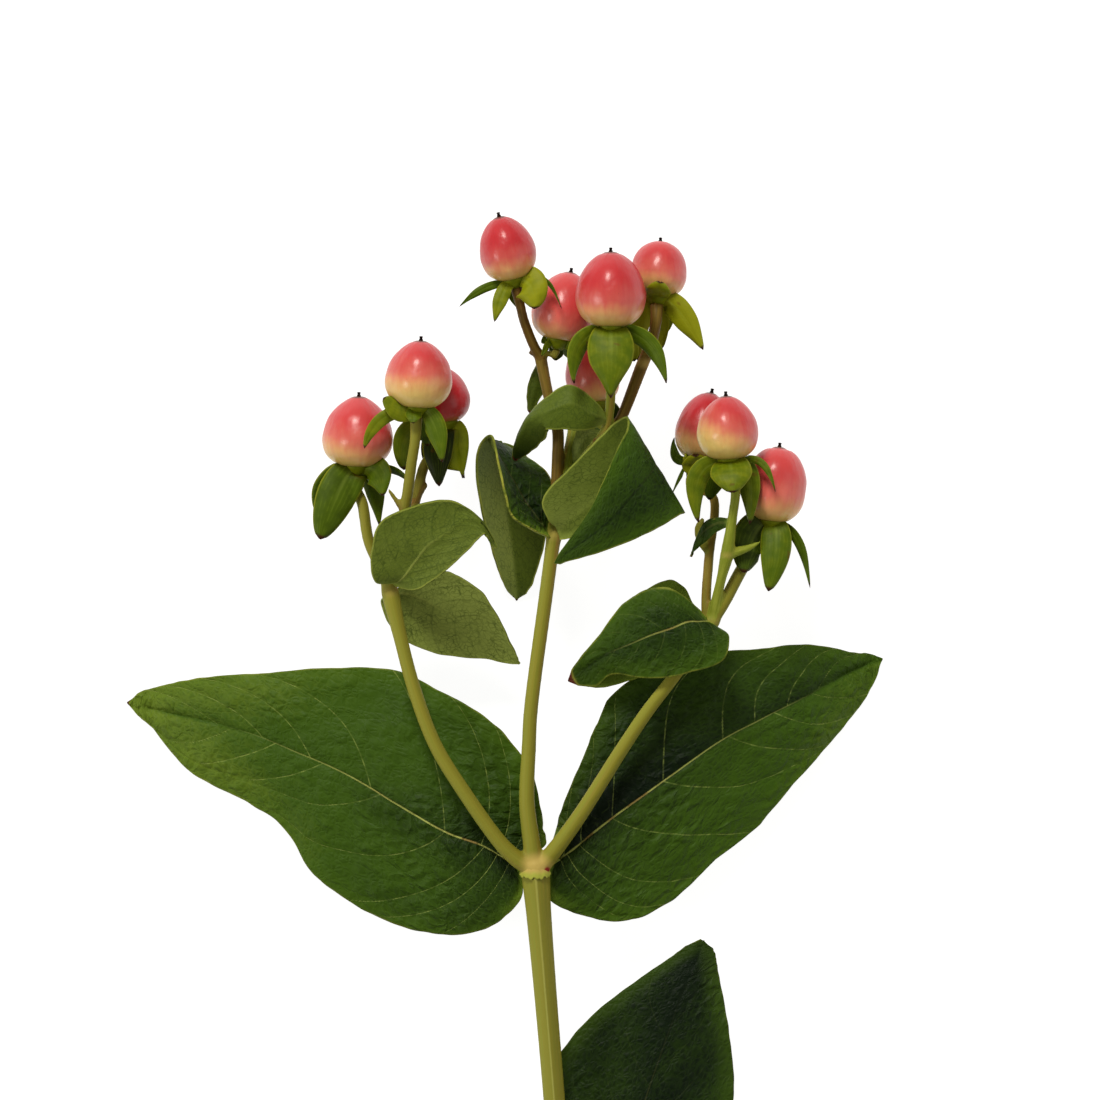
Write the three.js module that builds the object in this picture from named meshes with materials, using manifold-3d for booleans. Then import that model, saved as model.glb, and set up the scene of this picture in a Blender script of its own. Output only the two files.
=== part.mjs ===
// A cut stem of hypericum, lying down: stem, opposite leaves, and three clusters of berries.
// Millimetres, +Z up. The stem runs along +Y towards the berries, and the table is Z = 0.
// Every place below is measured from the main fork, and SHIFT then centres the whole.
import * as THREE from "three";
import { mergeVertices } from "three/addons/utils/BufferGeometryUtils.js";
import Module from "manifold-3d";

const wasm = await Module();
wasm.setup();

// ---- driving dimensions ----
const SHIFT = [5.2, -3.2, 0]; // from the main fork to the middle of the whole
const BLADE = 0.62; // thickness of a leaf
const SEPAL = 0.6; // thickness of a sepal
const SEAT = 0.3; // gap between neighbours that grew together
const LEAF_GRID = [11, 6]; // faces along and across a leaf
const SMALL_LEAF_GRID = [6, 4];
const SEPAL_GRID = [5, 2];
const BERRY_SIDES = 12;
const DIMPLE = 0.97; // bottom of the hollow at a berry's tip, as a share of its length
const BERRY_WIDEST = 4; // which point of the berry's outline is the widest
const LOBE = 0.02; // how far the three lobes of a berry swell
const CALYX_DEPTH = 1.5; // from a berry's base down to the foot of its cup
const CALYX_RADIUS = 1.9;
const CALYX_FOOT = 0.9; // radius at the foot
const SEPAL_SEAT = 0.9; // how far below the berry's base the sepals start
const SEPAL_START = 1.2; // how far from the berry's axis they start
const SEPAL_ROOM = 0.75; // least height from a sepal's middle up to its berry
const STALK_ROOM = 2.1; // least distance of a sepal's middle from the axis of the stalk
const SEPAL_CUP = 0.12; // how far a sepal's edges fall back, as a share of its width
const SEPAL_TIP = 0.12; // width left at a sepal's tip, as a share of its width
const STYLE_LENGTH = 0.75;
const STALK_SWELL = 1.15; // how much a stalk widens at its berry
const STALK_STRAIGHT = 0.45; // share of its last stretch that is in line with the berry
const RIDGE = 0.12; // how far the two raised lines of the stem stand out

const COLOURS = {
  stem: [0x8a8a3c, 0.6],
  leaf: [0x2f5a22, 0.5],
  young: [0x5d7d3c, 0.6],
  calyx: [0x5c7a2c, 0.6],
  berry: [0xd9505a, 0.25],
  style: [0x2a1c18, 0.8],
};

// ---- leaves: cross lines from base to tip, each [left edge, rib, right edge] ----
// Left and right are as seen on the upper face with the tip ahead.
const LEAVES = {
  leaf_main_left: [
    [[-2.5, -0.8, 10.5], [-3, 0.5, 11.2], [-2.5, 1.8, 10.5]],
    [[-3, -5, 9.5], [-5.5, 2, 11.2], [1.3, 4, 9]],
    [[-7.5, -9, 8.5], [-9, 4, 11], [1, 9, 9]],
    [[-15, -10, 7], [-14.5, 6, 10.8], [-2.5, 17, 10]],
    [[-24.5, -7.5, 5.5], [-21.5, 10, 10.2], [-10.5, 25.5, 10.5]],
    [[-34, -1.5, 5], [-30, 15, 9], [-21.5, 31, 9.5]],
    [[-39, 5.5, 4.5], [-38, 18.5, 7.6], [-34, 31.5, 8.5]],
    [[-46.5, 11, 3.5], [-45.5, 21.5, 6], [-45, 31, 6.5]],
    [[-54.5, 15.5, 2], [-53.5, 23.5, 3.6], [-54.5, 30, 4]],
    [[-60.5, 22, 0], [-60.5, 25, 0.6], [-60.5, 28.5, 1]],
    [[-64.3, 25.3, 0], [-64.8, 26.1, 0], [-64.4, 26.8, 0]],
  ],
  leaf_main_right: [
    [[3, 2, 10.5], [3.5, 0.9, 11.2], [3, -0.4, 10.5]],
    [[3, 4.5, 9], [5.5, 3, 11.2], [3.5, -4.5, 9.5]],
    [[4, 9, 9.5], [8.5, 5.5, 11], [7.5, -7, 8.5]],
    [[7, 17, 10], [13, 9, 10.6], [15, -8, 7]],
    [[9.5, 23, 10.3], [20, 14, 10], [24, -2.5, 5.5]],
    [[14.5, 29, 10], [28.5, 20, 9], [31, 3.5, 4.5]],
    [[24, 33.5, 9.5], [36, 24, 7.6], [39, 12, 3.5]],
    [[36.5, 35, 7.5], [42, 27, 5.4], [44.5, 18, 2.2]],
    [[44.5, 35, 4.6], [47.5, 30, 2.6], [49.5, 24, 0.8]],
    [[51, 34, 1.4], [51.5, 32, 0.6], [52.5, 28.5, 0]],
    [[54, 33.7, 0], [54.6, 33, 0], [54.4, 32.3, 0]],
  ],
  leaf_lower_left: [
    [[2.5, -68.8, 4.6], [2.2, -67.7, 5], [2.6, -66.6, 4.6]],
    [[2.5, -74.5, 3.4], [-0.5, -67, 5.4], [2, -60.5, 3.8]],
    [[-2.5, -80, 2.6], [-4, -66, 5.6], [0, -54, 4]],
    [[-10.5, -82, 2], [-10.5, -64, 5.6], [-5, -48.5, 4.2]],
    [[-19, -80, 1.4], [-18.5, -61, 5], [-13, -44, 4]],
    [[-27, -74.5, 1], [-26.5, -58, 4], [-22.5, -42.5, 3.4]],
    [[-35, -68.5, 0.8], [-35, -55.5, 3], [-31.5, -43, 2.6]],
    [[-42, -61.5, 0.7], [-42, -53, 2], [-40.5, -45.5, 1.8]],
    [[-47, -55, 0.6], [-47.5, -51.5, 1.2], [-46, -48, 1.1]],
    [[-50.5, -50.7, 0.5], [-51, -50, 0.5], [-50.4, -49.3, 0.5]],
  ],
  leaf_lower_right: [
    [[7.9, -64.8, 4.4], [8.1, -65.9, 4.7], [8.6, -67, 4.4]],
    [[4.5, -61.5, 2.4], [9.5, -63, 4.8], [16, -65, 3.6]],
    [[3.5, -55.5, 2.6], [10.5, -58, 5], [23, -60, 3]],
    [[2, -48, 3], [12, -51, 5.2], [27.5, -52.5, 2.6]],
    [[1.5, -39, 3.4], [15, -42.5, 5], [30, -43, 2.2]],
    [[2.5, -31.5, 3.6], [18, -33.5, 4.6], [31, -34, 1.8]],
    [[8.5, -23.5, 3.6], [21, -25, 4], [30, -24.5, 1.4]],
    [[16, -17.5, 3], [23.5, -18, 3], [28.5, -16.5, 1.2]],
    [[22, -13.5, 2], [25.5, -14, 1.8], [28, -13.5, 1]],
    [[25, -11.7, 1.1], [26.2, -11.4, 1], [27.3, -12.2, 0.9]],
  ],
  leaf_left_front: [
    [[-21.4, 44.3, 17.1], [-22.2, 44.8, 17.1], [-23, 44.6, 17.1]],
    [[-19, 44, 18.6], [-21, 46, 18.3], [-25.5, 45.5, 18.4]],
    [[-15.5, 46, 21], [-19, 48.5, 20.2], [-26, 49.5, 20.4]],
    [[-12.5, 48.5, 23], [-17, 51, 22.2], [-24.5, 54.5, 22.6]],
    [[-10, 51, 24.6], [-14, 53, 23.8], [-19.5, 57, 24.6]],
    [[-8.5, 52.5, 25.4], [-11.5, 55, 25.2], [-15, 58, 26]],
    [[-7.8, 52.3, 25.2], [-9.1, 54.8, 25.4], [-12, 57.5, 26.2]],
    [[-7.2, 51.3, 24.2], [-7.5, 53, 24.4], [-9, 55.5, 25]],
    [[-6.6, 50.3, 23.2], [-6.3, 50.6, 23.2], [-6.1, 51.1, 23.4]],
  ],
  leaf_left_back: [
    [[-23.5, 43, 12.7], [-22.5, 43.7, 12.8], [-21.5, 44.5, 12.7]],
    [[-24.5, 42, 12.4], [-21, 43.5, 12.7], [-18.5, 46, 12.7]],
    [[-23.5, 39, 12], [-19, 43, 12.4], [-15, 47, 12.8]],
    [[-21.5, 36.5, 11.2], [-16, 41.5, 11.8], [-12, 46, 12.6]],
    [[-17.5, 34.5, 10], [-12.5, 39.5, 11], [-8.5, 43.5, 12]],
    [[-13, 33.5, 8.8], [-9, 37.5, 9.8], [-6, 39.5, 10.8]],
    [[-7.5, 33, 7.6], [-5.5, 35, 8.2], [-4, 35.5, 8.8]],
    [[-3.2, 32, 6.8], [-2.7, 32.4, 6.8], [-2.8, 33, 6.9]],
  ],
  leaf_center_left: [
    [[0.9, 52.2, 17], [0.8, 52.8, 16.2], [0.9, 53.5, 15.5]],
    [[-1, 53.5, 20], [0, 55, 17], [1, 57, 14.5]],
    [[-4, 55.5, 21.5], [-2, 58, 17], [1.3, 60.5, 13.8]],
    [[-5, 59, 22], [-4, 61.5, 17], [0.5, 63, 12.6]],
    [[-6, 63.5, 21.5], [-6, 65, 16.5], [-2, 65, 11.6]],
    [[-7, 68, 20], [-7.5, 67.5, 14.5], [-5.5, 67, 10]],
    [[-9, 66.5, 17], [-7, 66, 10.8], [-2, 65.5, 7.6]],
    [[-9.5, 62, 14], [-5.5, 61, 8.2], [0.5, 60.5, 6]],
    [[-8.5, 55.5, 10.5], [-4, 55, 6], [1.5, 54, 4.7]],
    [[-7, 50, 7], [-3, 49.5, 4], [0.5, 48.5, 3.2]],
    [[-5, 45.5, 3.6], [-3, 45, 2], [-1, 44.5, 1.8]],
    [[-3.6, 42.6, 0.4], [-3.1, 42.3, 0.3], [-2.6, 42.6, 0.4]],
  ],
  leaf_center_right: [
    [[4.7, 52.2, 16.5], [4.5, 53, 16.6], [4.6, 53.7, 16.7]],
    [[7, 52.5, 17.5], [5, 54.5, 17.9], [1.5, 55.3, 18.6]],
    [[10, 52.5, 18], [8, 57, 18.8], [1, 58.5, 19.8]],
    [[14.5, 53, 18.6], [11.5, 59.5, 19.6], [4.5, 62.5, 21]],
    [[18, 54, 19.4], [15, 61.5, 20.6], [8.5, 66.5, 22.4]],
    [[21, 55.5, 20.6], [17.5, 63, 22], [12, 70, 24]],
    [[23, 56, 22.4], [18.5, 63.5, 24.4], [14, 71, 26]],
    [[22, 55.5, 24.6], [17.5, 62, 26.6], [14, 69, 27.6]],
    [[18.5, 53.5, 25.6], [15, 59, 27.4], [12.5, 66, 28.4]],
    [[14, 51.5, 25], [12, 55.5, 26.8], [10.5, 61.5, 28]],
    [[8.5, 49.5, 23.8], [8.5, 52.5, 25.2], [8.5, 57, 26.4]],
    [[5, 48.5, 22.4], [5, 50, 23.2], [5.5, 52.5, 24]],
    [[3, 47.8, 21.5], [2.7, 48.2, 21.6], [2.7, 48.8, 21.8]],
  ],
  leaf_top_rolled: [
    [[10.6, 71.2, 22.1], [10.6, 70.4, 22.2], [10.6, 69.6, 21.9]],
    [[8.5, 74, 22.8], [8.5, 71.5, 23.4], [8, 69, 22.7]],
    [[5, 76, 23], [5.5, 73, 24.4], [5, 69, 23.6]],
    [[1.5, 74, 22.5], [2, 72, 24.4], [1.5, 69, 24]],
    [[-1, 71.5, 21.5], [-1, 70.5, 23.4], [-0.5, 69, 23.6]],
    [[-2.5, 69, 19.5], [-2.5, 68, 21], [0, 67.5, 21.5]],
    [[-3.5, 66.5, 17.5], [-3, 66, 18.6], [-1.5, 65.5, 18.8]],
    [[-3.8, 64.7, 16.6], [-3.4, 64.3, 16.6], [-2.9, 64.5, 16.7]],
  ],
  leaf_top_hanging: [
    [[-0.3, 79.3, 16.4], [0.3, 79.4, 16.6], [0.9, 79.3, 16.4]],
    [[-1, 77.5, 15.4], [0, 77.5, 15.8], [1.5, 77.5, 15.4]],
    [[-1.5, 75.5, 14.8], [-0.3, 75.5, 15.2], [1.4, 75.5, 14.8]],
    [[-1.6, 73.5, 14.4], [-0.8, 73.5, 14.6], [0.2, 73.5, 14.4]],
    [[-1.5, 72, 14.2], [-1.1, 71.8, 14.2], [-0.7, 72, 14.2]],
  ],
  leaf_top_small: [
    [[9.5, 68.1, 18], [9.8, 67.6, 18.1], [9.9, 67, 18]],
    [[8.5, 68.5, 17], [8.5, 67.5, 17.2], [9, 66, 17]],
    [[7, 68, 16.2], [7, 66.5, 16.6], [7.5, 65, 16.4]],
    [[6.5, 66.3, 15.8], [6.3, 65.9, 15.8], [6.5, 65.3, 15.8]],
  ],
  leaf_right_small: [
    [[30.1, 54.2, 19.5], [29.8, 54.7, 19.7], [30, 55.4, 19.6]],
    [[28.6, 53, 18.8], [28.1, 54.4, 19.2], [28.2, 55.6, 18.8]],
    [[26.6, 51.2, 17.4], [26, 53, 17.8], [26.4, 55, 17.6]],
    [[24.8, 49.8, 16.6], [24.8, 51, 16.8], [25, 52.2, 16.8]],
    [[23.9, 49, 16], [24.1, 49.2, 16], [24.4, 49.4, 16]],
  ],
  leaf_right_front: [
    [[27.4, 38.3, 18], [26.6, 39.1, 18], [25.7, 39.9, 18]],
    [[30, 36.5, 18.9], [25.5, 39, 18.9], [24.5, 41.5, 19]],
    [[29, 33, 19.2], [23.5, 39, 19.6], [22, 43, 19.8]],
    [[25, 31.5, 18.9], [21, 38, 20], [19, 43.5, 19.6]],
    [[20.5, 30.5, 18.4], [18, 37, 19.6], [15.5, 43, 19]],
    [[16, 30.5, 17.4], [14.5, 35.5, 18.6], [12.5, 40.5, 18.2]],
    [[12, 31, 16], [11, 34, 17], [10, 37, 17]],
    [[9, 29.5, 14.6], [8, 32, 15.2], [7, 33.5, 15.6]],
    [[5.6, 29, 13.6], [4.9, 29.7, 13.6], [5, 30.6, 13.8]],
  ],
  leaf_right_back: [
    [[26.9, 38, 13.7], [26.8, 39, 13.9], [26.2, 40, 13.7]],
    [[26, 36, 13], [25, 39, 13.4], [24.5, 42, 13]],
    [[24.5, 34, 12.6], [23, 38, 13], [23, 44.5, 13]],
    [[21.5, 32, 12.4], [20.5, 37, 12.8], [20.5, 45.5, 12.8]],
    [[18.5, 31, 12.2], [17, 35.5, 12.6], [16.5, 43.5, 12.6]],
    [[15.5, 30, 12], [14, 33, 12.4], [12.5, 39, 12.4]],
    [[12, 29, 11.9], [11, 31, 12], [10, 34, 12]],
    [[8.5, 28.4, 11.8], [7.9, 28.9, 11.8], [8.2, 29.5, 11.8]],
  ],
};
const YOUNG = ["leaf_left_front", "leaf_left_back", "leaf_top_small"];

// ---- the stem's shoots: points [x, y, z, radius] along each ----
const SHOOTS = [
  [[7.2, -95.8, 2.2, 1.9], [6.3, -83.2, 3.4, 1.8], [5.3, -70.6, 5.2, 1.85], [5.1, -67.5, 5.6, 2.2],
    [4.9, -64.4, 6, 1.85], [3.9, -51.8, 7.4, 1.75], [2.7, -36.1, 9, 1.72], [1.4, -20.4, 10.4, 1.8],
    [0.3, -7.1, 11.6, 2], [-0.3, 0.3, 12.2, 2.25], [-0.5, 1.6, 12.3, 1.6]],
  [[-0.6, 0.3, 12.4, 1.5], [-3.3, 1.9, 13, 1.35], [-6.3, 5, 13.8, 1.2], [-11.1, 11.8, 14.8, 1.15],
    [-15.9, 19.6, 15.2, 1.1], [-19.2, 28.3, 15.4, 1.1], [-21.5, 36.9, 15.2, 1.12],
    [-22.9, 43, 15, 1.4], [-23.4, 45.2, 15, 1.1]],
  [[-0.3, 0.3, 12.4, 1.6], [-0.9, 4.7, 13, 1.4], [-1.6, 11, 13.6, 1.25], [-1.3, 18.8, 14, 1.15],
    [-0.8, 26.7, 14.4, 1.12], [1.3, 42.4, 15, 1.12], [2.4, 50.6, 15.4, 1.15], [2.7, 52.6, 15.5, 1.5],
    [2.8, 54.3, 15.6, 1.1]],
  [[0.2, 0.3, 12.4, 1.5], [2.4, 2.7, 13, 1.35], [6.9, 8.9, 14, 1.2], [13.3, 19, 15, 1.1],
    [17.4, 25.1, 15.4, 1.05], [21.4, 30.3, 15.8, 1], [25.6, 36.4, 16, 1.05], [27.3, 39.1, 16, 1.4],
    [27.9, 40.5, 16, 1]],
  // the shoot that carries the two upper berries of the middle cluster
  [[2.8, 54, 15.6, 1], [3.1, 61.2, 16.5, 0.95], [3.3, 68.5, 17.5, 0.95], [2.4, 72.2, 18, 0.9],
    [1.6, 75.2, 18.2, 0.88], [0.5, 80.7, 18.5, 1]],
];
const BRACTS = [
  [[-23.3, 59.8, 20.7, 0.25], [-20.7, 56.2, 20.2, 0.6]],
  [[-17.2, 60.6, 15.6, 0.3], [-19.3, 57.6, 15.5, 0.6]],
  [[-1.3, 81.2, 18.6, 0.25], [0.5, 80.6, 18.5, 0.7]],
  [[32.8, 50.6, 18.9, 0.3], [29.7, 49.5, 19.8, 0.8]],
];

// ---- berries: base, tip and radius, the way along their stalk, and their sepals ----
// A sepal is [turning point, tip, width, turn]: the points are from the berry's base, and the turn
// is in degrees about its rib, away from facing straight up.
const BERRIES = {
  left_low: {
    base: [-28.2, 63.4, 16], tip: [-27.9, 74.3, 16.5], radius: 5.55,
    stalk: [[-23.1, 44, 15, 1], [-24.6, 47.7, 15.4, 0.95], [-26.4, 51.8, 15.8, 0.9],
      [-27.3, 57.3, 16, 0.9]],
    sepals: [[[-5, -2.5, 0.5], [-6.1, -7.3, 1], 5.2, -35], [[-3.1, -3.5, 3.2], [-5.7, -11.5, 3], 6.4, -8],
      [[3.7, 0.3, 3], [4, -4.7, 3.4], 4.8, 15], [[2.9, -1.9, -2.5], [3.2, -9.1, -3], 3, 30],
      [[5.1, 0.6, 1], [8.5, -2.7, 2.4], 2, 50]],
  },
  left_front: {
    base: [-18.7, 72.5, 24], tip: [-18.1, 82.9, 24.3], radius: 5.2,
    stalk: [[-23.1, 44, 15, 1], [-22, 50.2, 17.3, 0.85], [-20.6, 56.7, 20.3, 0.8],
      [-19.6, 63.6, 22.8, 0.78]],
    sepals: [[[-3.1, -0.2, -1], [-5.5, 1.1, -1.2], 3.6, 0], [[-6.9, -0.9, 1.5], [-8.2, -6.4, 0.6], 2.2, -10],
      [[-0.6, -0.9, 2], [-0.6, -2.5, 2.6], 2.6, 0], [[3.3, -1.9, 1.8], [3.9, -8.6, 1.6], 3.5, 10],
      [[1.1, -1.9, -2.6], [1.6, -6, -3.4], 3.4, 180]],
  },
  left_back: {
    base: [-14.3, 70.2, 15], tip: [-15.7, 79, 14.5], radius: 4.35,
    stalk: [[-22.9, 44.3, 15, 0.9], [-20.9, 51.8, 15.3, 0.75], [-19, 58.2, 15.5, 0.72],
      [-17.3, 64.1, 15.5, 0.7]],
    sepals: [[[3.5, -0.8, 0.8], [2.4, -8.6, 1.2], 4.8, 20], [[-1.6, -2.7, 3], [-1.3, -10, 3.2], 4, 0],
      [[-8, -0.2, 1.6], [-6.6, -7.1, 1.4], 3.4, -20], [[2.5, -2, -3], [1.9, -6.1, -4], 4, 150],
      [[-2.2, -2.7, -3.4], [-2.8, -6.8, -4], 4, 200]],
  },
  center_left: {
    base: [-3.6, 92.6, 24.6], tip: [-5.9, 102.2, 25.6], radius: 4.25,
    stalk: [[0.6, 80.4, 18.5, 0.8], [-0.6, 82.4, 19.6, 0.8], [-2, 86, 21.6, 0.78]],
    sepals: [[[-5, -0.9, 0.6], [-8.5, -4.4, 0.4], 1.9, -10], [[-2.2, -2.5, 2.4], [-3, -6.8, 2.2], 2.4, 0],
      [[2.8, -0.2, 2.8], [3.1, -5, 2.6], 4.6, 10], [[5.3, 1.9, 1], [7.5, -4.7, 1.6], 2, 30],
      [[-0.3, -2.5, -3], [-0.9, -6, -3.6], 3.8, 180]],
  },
  center_back: {
    base: [3.4, 83.1, 19], tip: [5.3, 93.7, 18.6], radius: 4.95,
    stalk: [[0.5, 80.5, 18.5, 0.7], [1.2, 81, 18.7, 0.65]],
    sepals: [[[-1, -1.1, 2.6], [-1.5, -3, 3], 2.6, 0], [[2.9, -1.4, 1.5], [3.1, -4.9, 1.6], 3, 40],
      [[2.1, -1.7, -2.8], [2.4, -4.9, -3.2], 3.2, 150], [[-0.4, -2.4, -2.4], [-0.4, -4.9, -3.6], 3.2, 180],
      [[-1.8, 0.3, 0.4], [-2.7, -0.5, 0.4], 1.8, 0]],
  },
  center_front: {
    base: [11.5, 85.1, 27], tip: [11.5, 96.7, 27], radius: 5.55,
    stalk: [[2.8, 54, 15.6, 1], [3.9, 58.9, 16.4, 0.9], [6.8, 63.6, 17.8, 0.9],
      [9.9, 67.5, 19.6, 0.9], [11, 69.9, 20.6, 0.8], [11.5, 73.8, 22.3, 0.78],
      [11.5, 78.5, 24.6, 0.75]],
    sepals: [[[0, -2.7, 4.4], [0, -11.3, 3.4], 7.3, 0], [[-6.9, -1.9, 1], [-5.5, -8.9, 1.6], 3.8, -30],
      [[7.2, -1.3, 1], [8.6, -8.9, 1.6], 3.2, 30], [[4.1, -2.7, -3], [4.7, -7.8, -3.8], 4.6, 140],
      [[-3.5, -2.7, -3.4], [-4.1, -7.2, -4.2], 4.6, 220]],
  },
  center_right: {
    base: [18.8, 90, 21.2], tip: [19.3, 98.4, 19], radius: 4.35,
    stalk: [[9.6, 67.2, 19.4, 0.8], [11.8, 69.4, 19.8, 0.75], [13.3, 71.1, 20, 0.75],
      [16.3, 78.8, 20.2, 0.85], [17.8, 82.4, 20.5, 0.72]],
    sepals: [[[0, 0, 4.4], [0.4, 2, 5.2], 4, 0], [[5.2, -0.3, 0.6], [7.1, -8.5, 1], 3.7, 12],
      [[-3.6, -0.5, -1.4], [-2.9, -10.2, -2.7], 4.4, -10], [[3, -2.4, -3], [3.7, -6.8, -4], 4, 150],
      [[0.5, -3.3, -3.4], [0.7, -8.3, -3.6], 3, 180]],
  },
  center_low: {
    base: [9.9, 73.3, 8], tip: [7.8, 83.7, 6.6], radius: 4.9,
    stalk: [[3, 55, 15.6, 0.8], [4.4, 62, 15.8, 0.75], [5.5, 68.5, 12.6, 0.72]],
    sepals: [[[-3.8, 0.5, 1], [-4.4, -3, 1], 3.2, -20], [[-0.9, -1.1, 3.2], [-2.2, -3.2, 3.2], 3.2, 0],
      [[4.1, -0.8, 1], [4.4, -5.2, 0.6], 3.8, 30], [[1.9, -2.7, -3], [2.5, -5.8, -3.6], 3.4, 160],
      [[-2.5, -2, -3], [-3.1, -5.2, -3.4], 3.4, 200]],
  },
  right_back: {
    base: [25.1, 64.5, 13], tip: [27.4, 74.9, 12.6], radius: 4.35,
    stalk: [[26.8, 38.6, 16, 0.9], [26.5, 42.4, 15.4, 0.75], [27, 49.5, 14.6, 0.72],
      [27.8, 58.1, 13.8, 0.7]],
    sepals: [[[-3.4, 2.7, 0.4], [-2.2, -3, 0.8], 3.2, -25], [[-0.2, -1.7, 2.4], [-1.1, -2.7, 2.6], 2.8, 0],
      [[-2, -1.1, 1], [-4.1, -5.7, 0.8], 1.1, 0], [[3, -1.4, 0.4], [3.5, -4.2, 0.2], 3, 30],
      [[0.2, -2.4, -2.8], [0.5, -6.1, -3.6], 3.8, 180]],
  },
  right_front: {
    base: [30.5, 64.5, 22], tip: [29.5, 74.3, 22.4], radius: 4.8,
    stalk: [[27.3, 38.9, 16, 1], [28.1, 42.4, 17, 0.85], [28.9, 46, 18.6, 0.8],
      [29.7, 49.5, 19.8, 1.05], [30.5, 55, 21.2, 0.78]],
    sepals: [[[0.3, -1.4, 4.2], [0.5, -5.5, 4.6], 6.4, 0], [[-6.8, -1.1, 1], [-4.7, -9.9, 1.2], 3.6, -20],
      [[6, 1.3, 1.4], [7.2, -5.2, 2.2], 1.7, 20], [[3.8, -1.4, -0.6], [3, -10.5, -0.9], 3.2, 15],
      [[-2.4, -2.4, -3], [-3, -6.4, -4], 4, 200]],
  },
  right_low: {
    base: [37.4, 54.8, 16], tip: [38, 66.4, 16], radius: 4.4,
    stalk: [[27.6, 39.2, 16, 0.9], [29.4, 42.2, 16.2, 0.85], [32, 47.1, 16.4, 0.82]],
    sepals: [[[-4.2, -1.1, 2], [-4.4, -7.7, 2.7], 3.4, -15], [[1.4, -3, 3.6], [-0.8, -11, 3.4], 4.7, 0],
      [[4.7, -0.8, 0.6], [6.1, -10.5, 1], 2.1, 25], [[-3, -1.4, -2.6], [-3.6, -5.8, -3.6], 3.8, 200],
      [[2.7, -3, -2.8], [3.3, -7.4, -3.8], 3.8, 150]],
  },
};
// The outline of a berry from base to tip: [share of the length, share of the radius].
const BERRY_OUTLINE = [[0.03, 0], [0, 0.38], [0.05, 0.65], [0.17, 0.89], [0.36, 1], [0.54, 0.95],
  [0.72, 0.8], [0.86, 0.57], [0.96, 0.3], [1, 0.1], [DIMPLE, 0]];

// ---- shared helpers ----
const UP = new THREE.Vector3(0, 0, 1);
const vector = ([x, y, z]) => new THREE.Vector3(x, y, z);
const curve = (points) => new THREE.CatmullRomCurve3(points.map(vector), false, "catmullrom", 0.5);
const radians = THREE.MathUtils.degToRad;

// A closed thin blade on a grid; place(along, across, face) gives each corner, and both faces
// are split into triangles alike.
function blade(rows, cols, place) {
  const corners = [];
  for (const face of [-1, 1]) {
    for (let row = 0; row <= rows; row++) {
      for (let col = 0; col <= cols; col++) {
        corners.push(...place(row / rows, (2 * col) / cols - 1, face).toArray());
      }
    }
  }
  const at = (row, col, face) => (face > 0 ? (rows + 1) * (cols + 1) : 0) + row * (cols + 1) + col;
  const faces = [];
  for (let row = 0; row < rows; row++) {
    for (let col = 0; col < cols; col++) {
      const [a, b] = [at(row, col, 1), at(row, col + 1, 1)];
      const [d, c] = [at(row + 1, col, 1), at(row + 1, col + 1, 1)];
      const below = at(0, 0, 1);
      faces.push(a, b, c, a, c, d);
      faces.push(a - below, c - below, b - below, a - below, d - below, c - below);
    }
  }
  const rim = [];
  for (let col = 0; col < cols; col++) rim.push([0, col]);
  for (let row = 0; row < rows; row++) rim.push([row, cols]);
  for (let col = cols; col > 0; col--) rim.push([rows, col]);
  for (let row = rows; row > 0; row--) rim.push([row, 0]);
  rim.forEach(([row, col], index) => {
    const [nextRow, nextCol] = rim[(index + 1) % rim.length];
    const [a, b] = [at(row, col, -1), at(nextRow, nextCol, -1)];
    const [c, d] = [at(nextRow, nextCol, 1), at(row, col, 1)];
    faces.push(a, b, c, a, c, d);
  });
  const geometry = new THREE.BufferGeometry();
  geometry.setAttribute("position", new THREE.Float32BufferAttribute(corners, 3));
  geometry.setIndex(faces);
  return geometry;
}

// A round shoot that follows [x, y, z, radius] points, with a raised line front and back.
function shoot(points, sides, steps, ridge) {
  const path = curve(points);
  const sizes = curve(points.map(([, , , radius]) => [radius, 0, 0]));
  const geometry = new THREE.CylinderGeometry(1, 1, 1, sides, steps);
  const place = geometry.attributes.position;
  for (let index = 0; index < place.count; index++) {
    const along = THREE.MathUtils.clamp(0.5 - place.getY(index), 0, 1);
    const ahead = path.getTangent(along);
    const front = UP.clone().addScaledVector(ahead, -UP.dot(ahead)).normalize();
    const side = new THREE.Vector3().crossVectors(front, ahead);
    const radius = sizes.getPoint(along).x * (1 + ridge * Math.abs(place.getZ(index)) ** 6);
    const point = path.getPoint(along);
    point.addScaledVector(side, radius * place.getX(index));
    point.addScaledVector(front, radius * place.getZ(index));
    place.setXYZ(index, point.x, point.y, point.z);
  }
  return geometry;
}

function lathe(points, sides) {
  return new THREE.LatheGeometry(points.map(([x, y]) => new THREE.Vector2(x, y)), sides);
}

function solid(geometry) {
  const bare = geometry.clone();
  bare.deleteAttribute("normal");
  bare.deleteAttribute("uv");
  const merged = mergeVertices(bare, 1e-4);
  return new wasm.Manifold(new wasm.Mesh({
    numProp: 3,
    vertProperties: new Float32Array(merged.attributes.position.array),
    triVerts: new Uint32Array(merged.index.array),
  }));
}

function geometryOf(body) {
  const { vertProperties, triVerts } = body.getMesh();
  const geometry = new THREE.BufferGeometry();
  geometry.setAttribute("position", new THREE.BufferAttribute(vertProperties, 3));
  geometry.setIndex(new THREE.BufferAttribute(triVerts, 1));
  return geometry;
}

const joined = (solids) => geometryOf(solids.reduce((whole, next) => whole.add(next)));

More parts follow.
